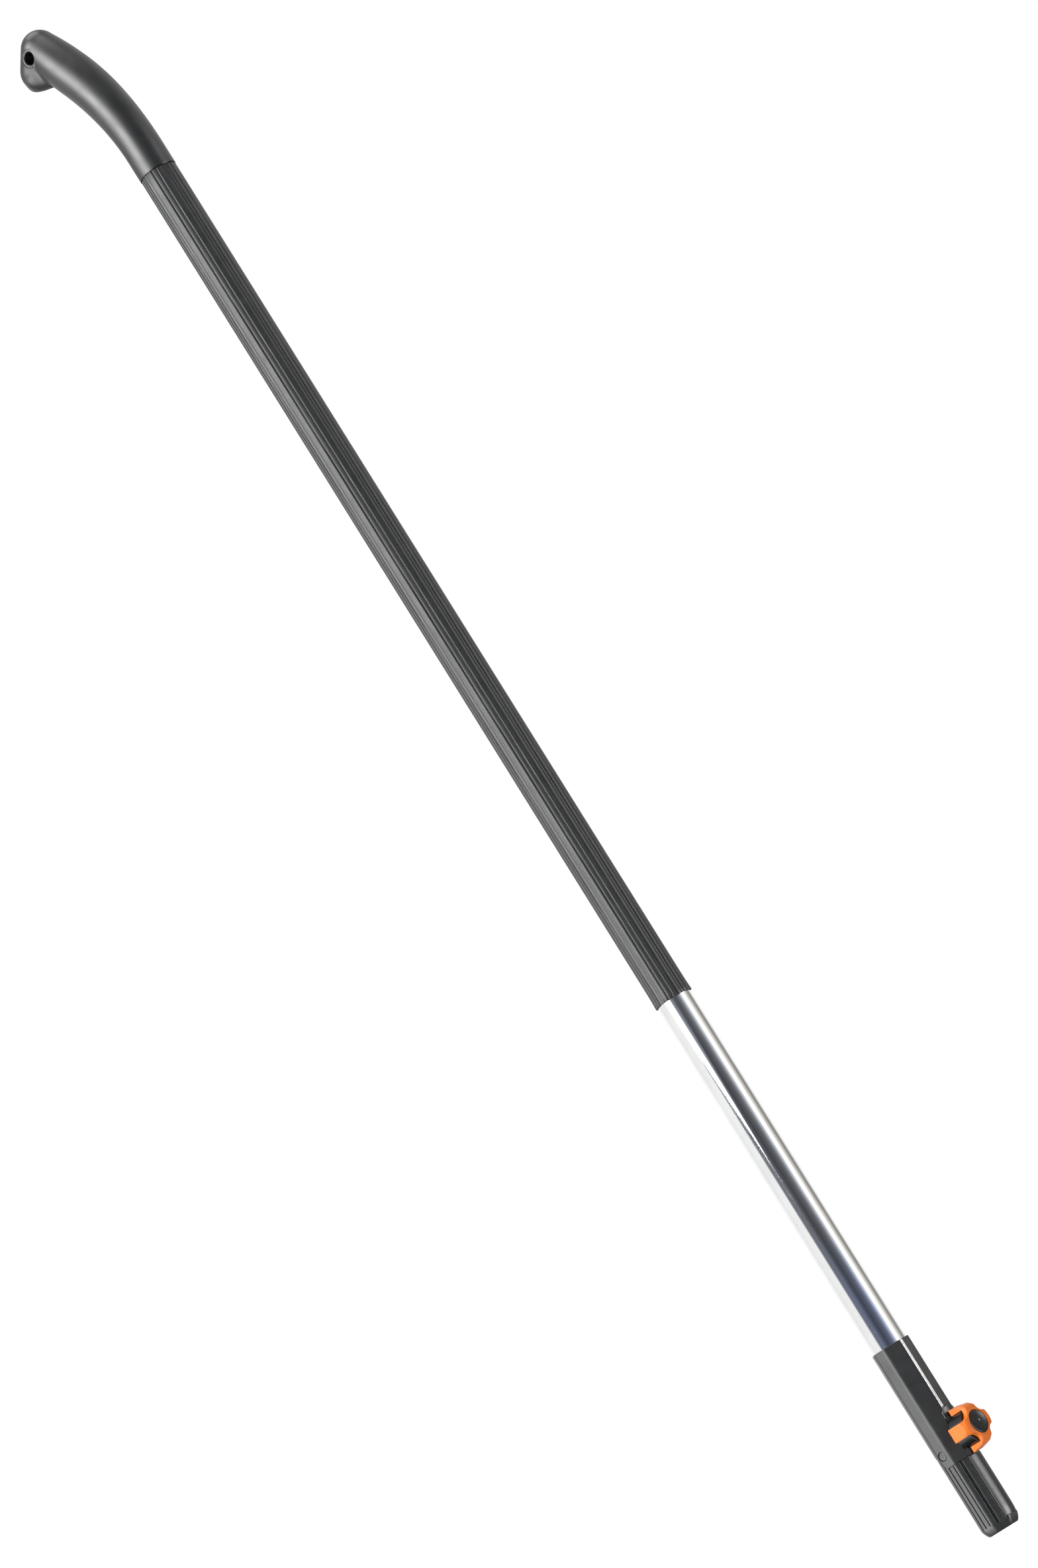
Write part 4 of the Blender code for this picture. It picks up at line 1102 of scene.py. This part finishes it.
def plate_outline():
    """The knob's face as (y, z) round its axis: four lobes with a round valley between each two."""
    tip, half = LOBE_FACE_R, LOBE_FACE_HALF
    near, flat, deep = LOBE_CORNER
    quarter = [(tip, flat - half), (tip, half - flat),
               (tip - near, half - near), (tip - deep, half)]
    for i in range(VALLEY_STEPS + 1):
        angle = math.radians(270.0 - 90.0 * i / VALLEY_STEPS)
        quarter.append((VALLEY_CENTRE + VALLEY_R * math.cos(angle),
                        VALLEY_CENTRE + VALLEY_R * math.sin(angle)))
    quarter += [(half, tip - deep), (half - near, tip - near)]
    outline = []
    for turn in range(4):
        cos, sin = math.cos(turn * math.pi / 2.0), math.sin(turn * math.pi / 2.0)
        outline += [(y * cos - z * sin, y * sin + z * cos) for y, z in quarter]
    return outline


def knob_leg(turn):
    """One leg of the knob: wider and further out at its base than at the face."""
    face_x = span("knob_shell", X)[1]
    shape = bmesh.new()
    bmesh.ops.create_cube(shape, size=2.0)
    for vertex in shape.verts:
        at_face = vertex.co.x > 0.0
        vertex.co.y *= LOBE_FACE_HALF if at_face else LOBE_BASE_HALF
        reach = LOBE_FACE_R if at_face else LOBE_BASE_R
        vertex.co.z = reach if vertex.co.z > 0.0 else LOBE_ROOT
        vertex.co.x = face_x - LOBE_FACE_INSET if at_face else LOBE_BASE_X
    placed = Matrix.Translation(KNOB_CENTRE) @ Matrix.Rotation(turn, 4, "X")
    bmesh.ops.transform(shape, matrix=placed, verts=shape.verts)
    return from_shape("leg", shape)


def make_knob_shell():
    """Orange four-lobed shell with soft moulded edges and arched windows over the drum."""
    face_x = span("knob_shell", X)[1]
    drum_r = span("knob_core", Z)[1] - KNOB_Z
    outline = plate_outline()
    shell = grid_solid("knob", [[(x, y, KNOB_Z + z) for y, z in outline]
                                for x in (PLATE_BACK_X, face_x)])
    for quarter in range(4):
        combined(shell, knob_leg(quarter * math.pi / 2.0), "UNION")
    start_x = LOBE_BASE_X - ENVELOPE_RUN
    envelope = [(FACE_EDGE_R + FACE_EDGE_SLOPE * (face_x - start_x), start_x),
                (FACE_EDGE_R + FACE_EDGE_SLOPE * MM, face_x - MM),
                *shifted(FACE_EDGE_R, face_x, FACE_ROUNDING)]
    combined(shell, turned("envelope", envelope, 128, X, KNOB_CENTRE), "INTERSECT")
    remeshed(shell, KNOB_VOXEL, KNOB_SMOOTHING)

    def near_face_edge(place):
        across = math.hypot(place.y, place.z - KNOB_Z)
        share = (place.x - (face_x - SOFT_FACE_DEPTH)) / SOFT_FACE_FADE
        return min(1.0, max(0.0, share)) if across > SOFT_FACE_R else 0.0

    soften(shell, near_face_edge, FACE_SMOOTHING)
    window_r, window_x = drum_r + GAP, PLATE_BACK_X + WINDOW_DEPTH
    seat = shifted(COVER_SEAT_R, face_x, COVER_SEAT_EDGE)
    pocket = [(window_r, 0.0), (window_r, window_x), (COVER_SEAT_R, window_x), *seat,
              (seat[-1][0], 2.0 * face_x)]
    cut(shell, turned("pocket", pocket, 128, X, KNOB_CENTRE))
    finished(shell, "knob", "knob_orange", "knob_shell", sharp=35.0)


def make_knob_core():
    """Glossy black drum with broken edges, the screw's pocket and the washer's seat."""
    item = bevelled(cad_copy("knob_core", "drum"), 0.22 * MM, 2, 20.0)
    finished(item, "knob", "knob_black", "knob_core", weighted=True)


def make_knob_cover():
    """Round cap: flat face with a fine dished rim and a small centre dimple."""
    back, front = span("knob_cover", X)
    radius = span("knob_cover", Y)[1]
    profile = [(radius - COVER_BACK_CHAMFER, back), (radius, back + COVER_BACK_CHAMFER),
               *shifted(radius, front, COVER_EDGE), *shifted(0.0, front, COVER_DIMPLE)]
    item = turned("knob_cap", profile, 128, X, KNOB_CENTRE)
    finished(item, "knob", "knob_black", "knob_cover", sharp=50.0)


SCREW_R = 4.0 * MM
SCREW_PITCH = 1.25 * MM
SCREW_DEPTH = 0.68 * MM
SCREW_FLANK = 2.5
SCREW_CREST = 0.12
SCREW_STEPS = 64
SCREW_END = 0.8 * MM
SCREW_END_SLOPE = 0.9
HEAD_LENGTH = 5.2 * MM
HEAD_HALF_FLATS = 6.5 * MM
HEAD_SINK = 0.3 * MM
HEAD_CHAMFER = (0.6 * MM, 0.35 * MM)
RING_BORE_R = 4.3 * MM
RING_EDGE = 0.25 * MM


def make_screw():
    """Clamp screw: right-hand thread, plain tip chamfer and a chamfered hexagon head."""
    tail, head_front = span("clamp_screw", X)
    head_back = head_front - HEAD_LENGTH
    thread_end = head_back - SCREW_END
    rings = []
    count = int((head_back - tail) / (SCREW_PITCH / 10.0))
    for i in range(count + 1):
        x = tail + (head_back + HEAD_SINK - tail) * i / count
        depth = SCREW_DEPTH
        if x > head_back - MM:
            depth *= max(0.0, (thread_end - x) / SCREW_END)
        tip = max(0.0, SCREW_END - (x - tail)) * SCREW_END_SLOPE
        ring = []
        for j in range(SCREW_STEPS):
            turn = 2.0 * math.pi * j / SCREW_STEPS
            phase = (x / SCREW_PITCH - j / SCREW_STEPS) % 1.0
            flank = min(1.0, max(0.0, abs(phase - 0.5) * SCREW_FLANK - SCREW_CREST))
            radius = SCREW_R - depth * flank - tip
            ring.append((x, radius * math.cos(turn), KNOB_Z + radius * math.sin(turn)))
        rings.append(ring)
    item = grid_solid("screw", rings)
    corner = HEAD_HALF_FLATS / math.cos(math.pi / 6.0)
    inset, chamfer = HEAD_CHAMFER
    head = turned("hexagon", [(corner, head_back), (corner, head_front)], 6, X, KNOB_CENTRE)
    cone = [(corner - inset, head_back), (corner, head_back + chamfer),
            (corner, head_front - chamfer), (corner - inset, head_front)]
    combined(head, turned("chamfer", cone, 48, X, KNOB_CENTRE), "INTERSECT")
    combined(item, head, "UNION")
    item.name = "screw"
    finished(item, "knob", "steel", "clamp_screw", sharp=25.0)


def turned_ring(name, node, body, slot):
    """A washer, bush or ring along the knob's axis, with broken edges."""
    back, front = span(node, X)
    edge = min(RING_EDGE, (front - back) / 5.0)
    profile = wall(span(node, Y)[1], RING_BORE_R, back, front, edge)
    item = turned(name, profile, 96, X, KNOB_CENTRE, hollow=True)
    finished(item, body, slot, node, sharp=30.0)


# --- Assembly ---
make_camera()
make_studio_light()
make_backdrop()
make_floor()
FINISH = make_materials()
make_tube()
make_sleeve()
make_grip()
make_housing()
make_spigot()
make_stripe()
make_rivet()
make_knob_shell()
make_knob_core()
make_knob_cover()
make_screw()
turned_ring("thrust_washer", "pressure_washer", "clamp_washer", "steel")
turned_ring("bush", "threaded_insert", "pole", "brass")
turned_ring("retaining_ring", "stop_ring", "knob", "steel")
plug = NODES["grip_plug"]
plug.data.materials.clear()
plug.data.materials.append(FINISH["coupling_nylon"])
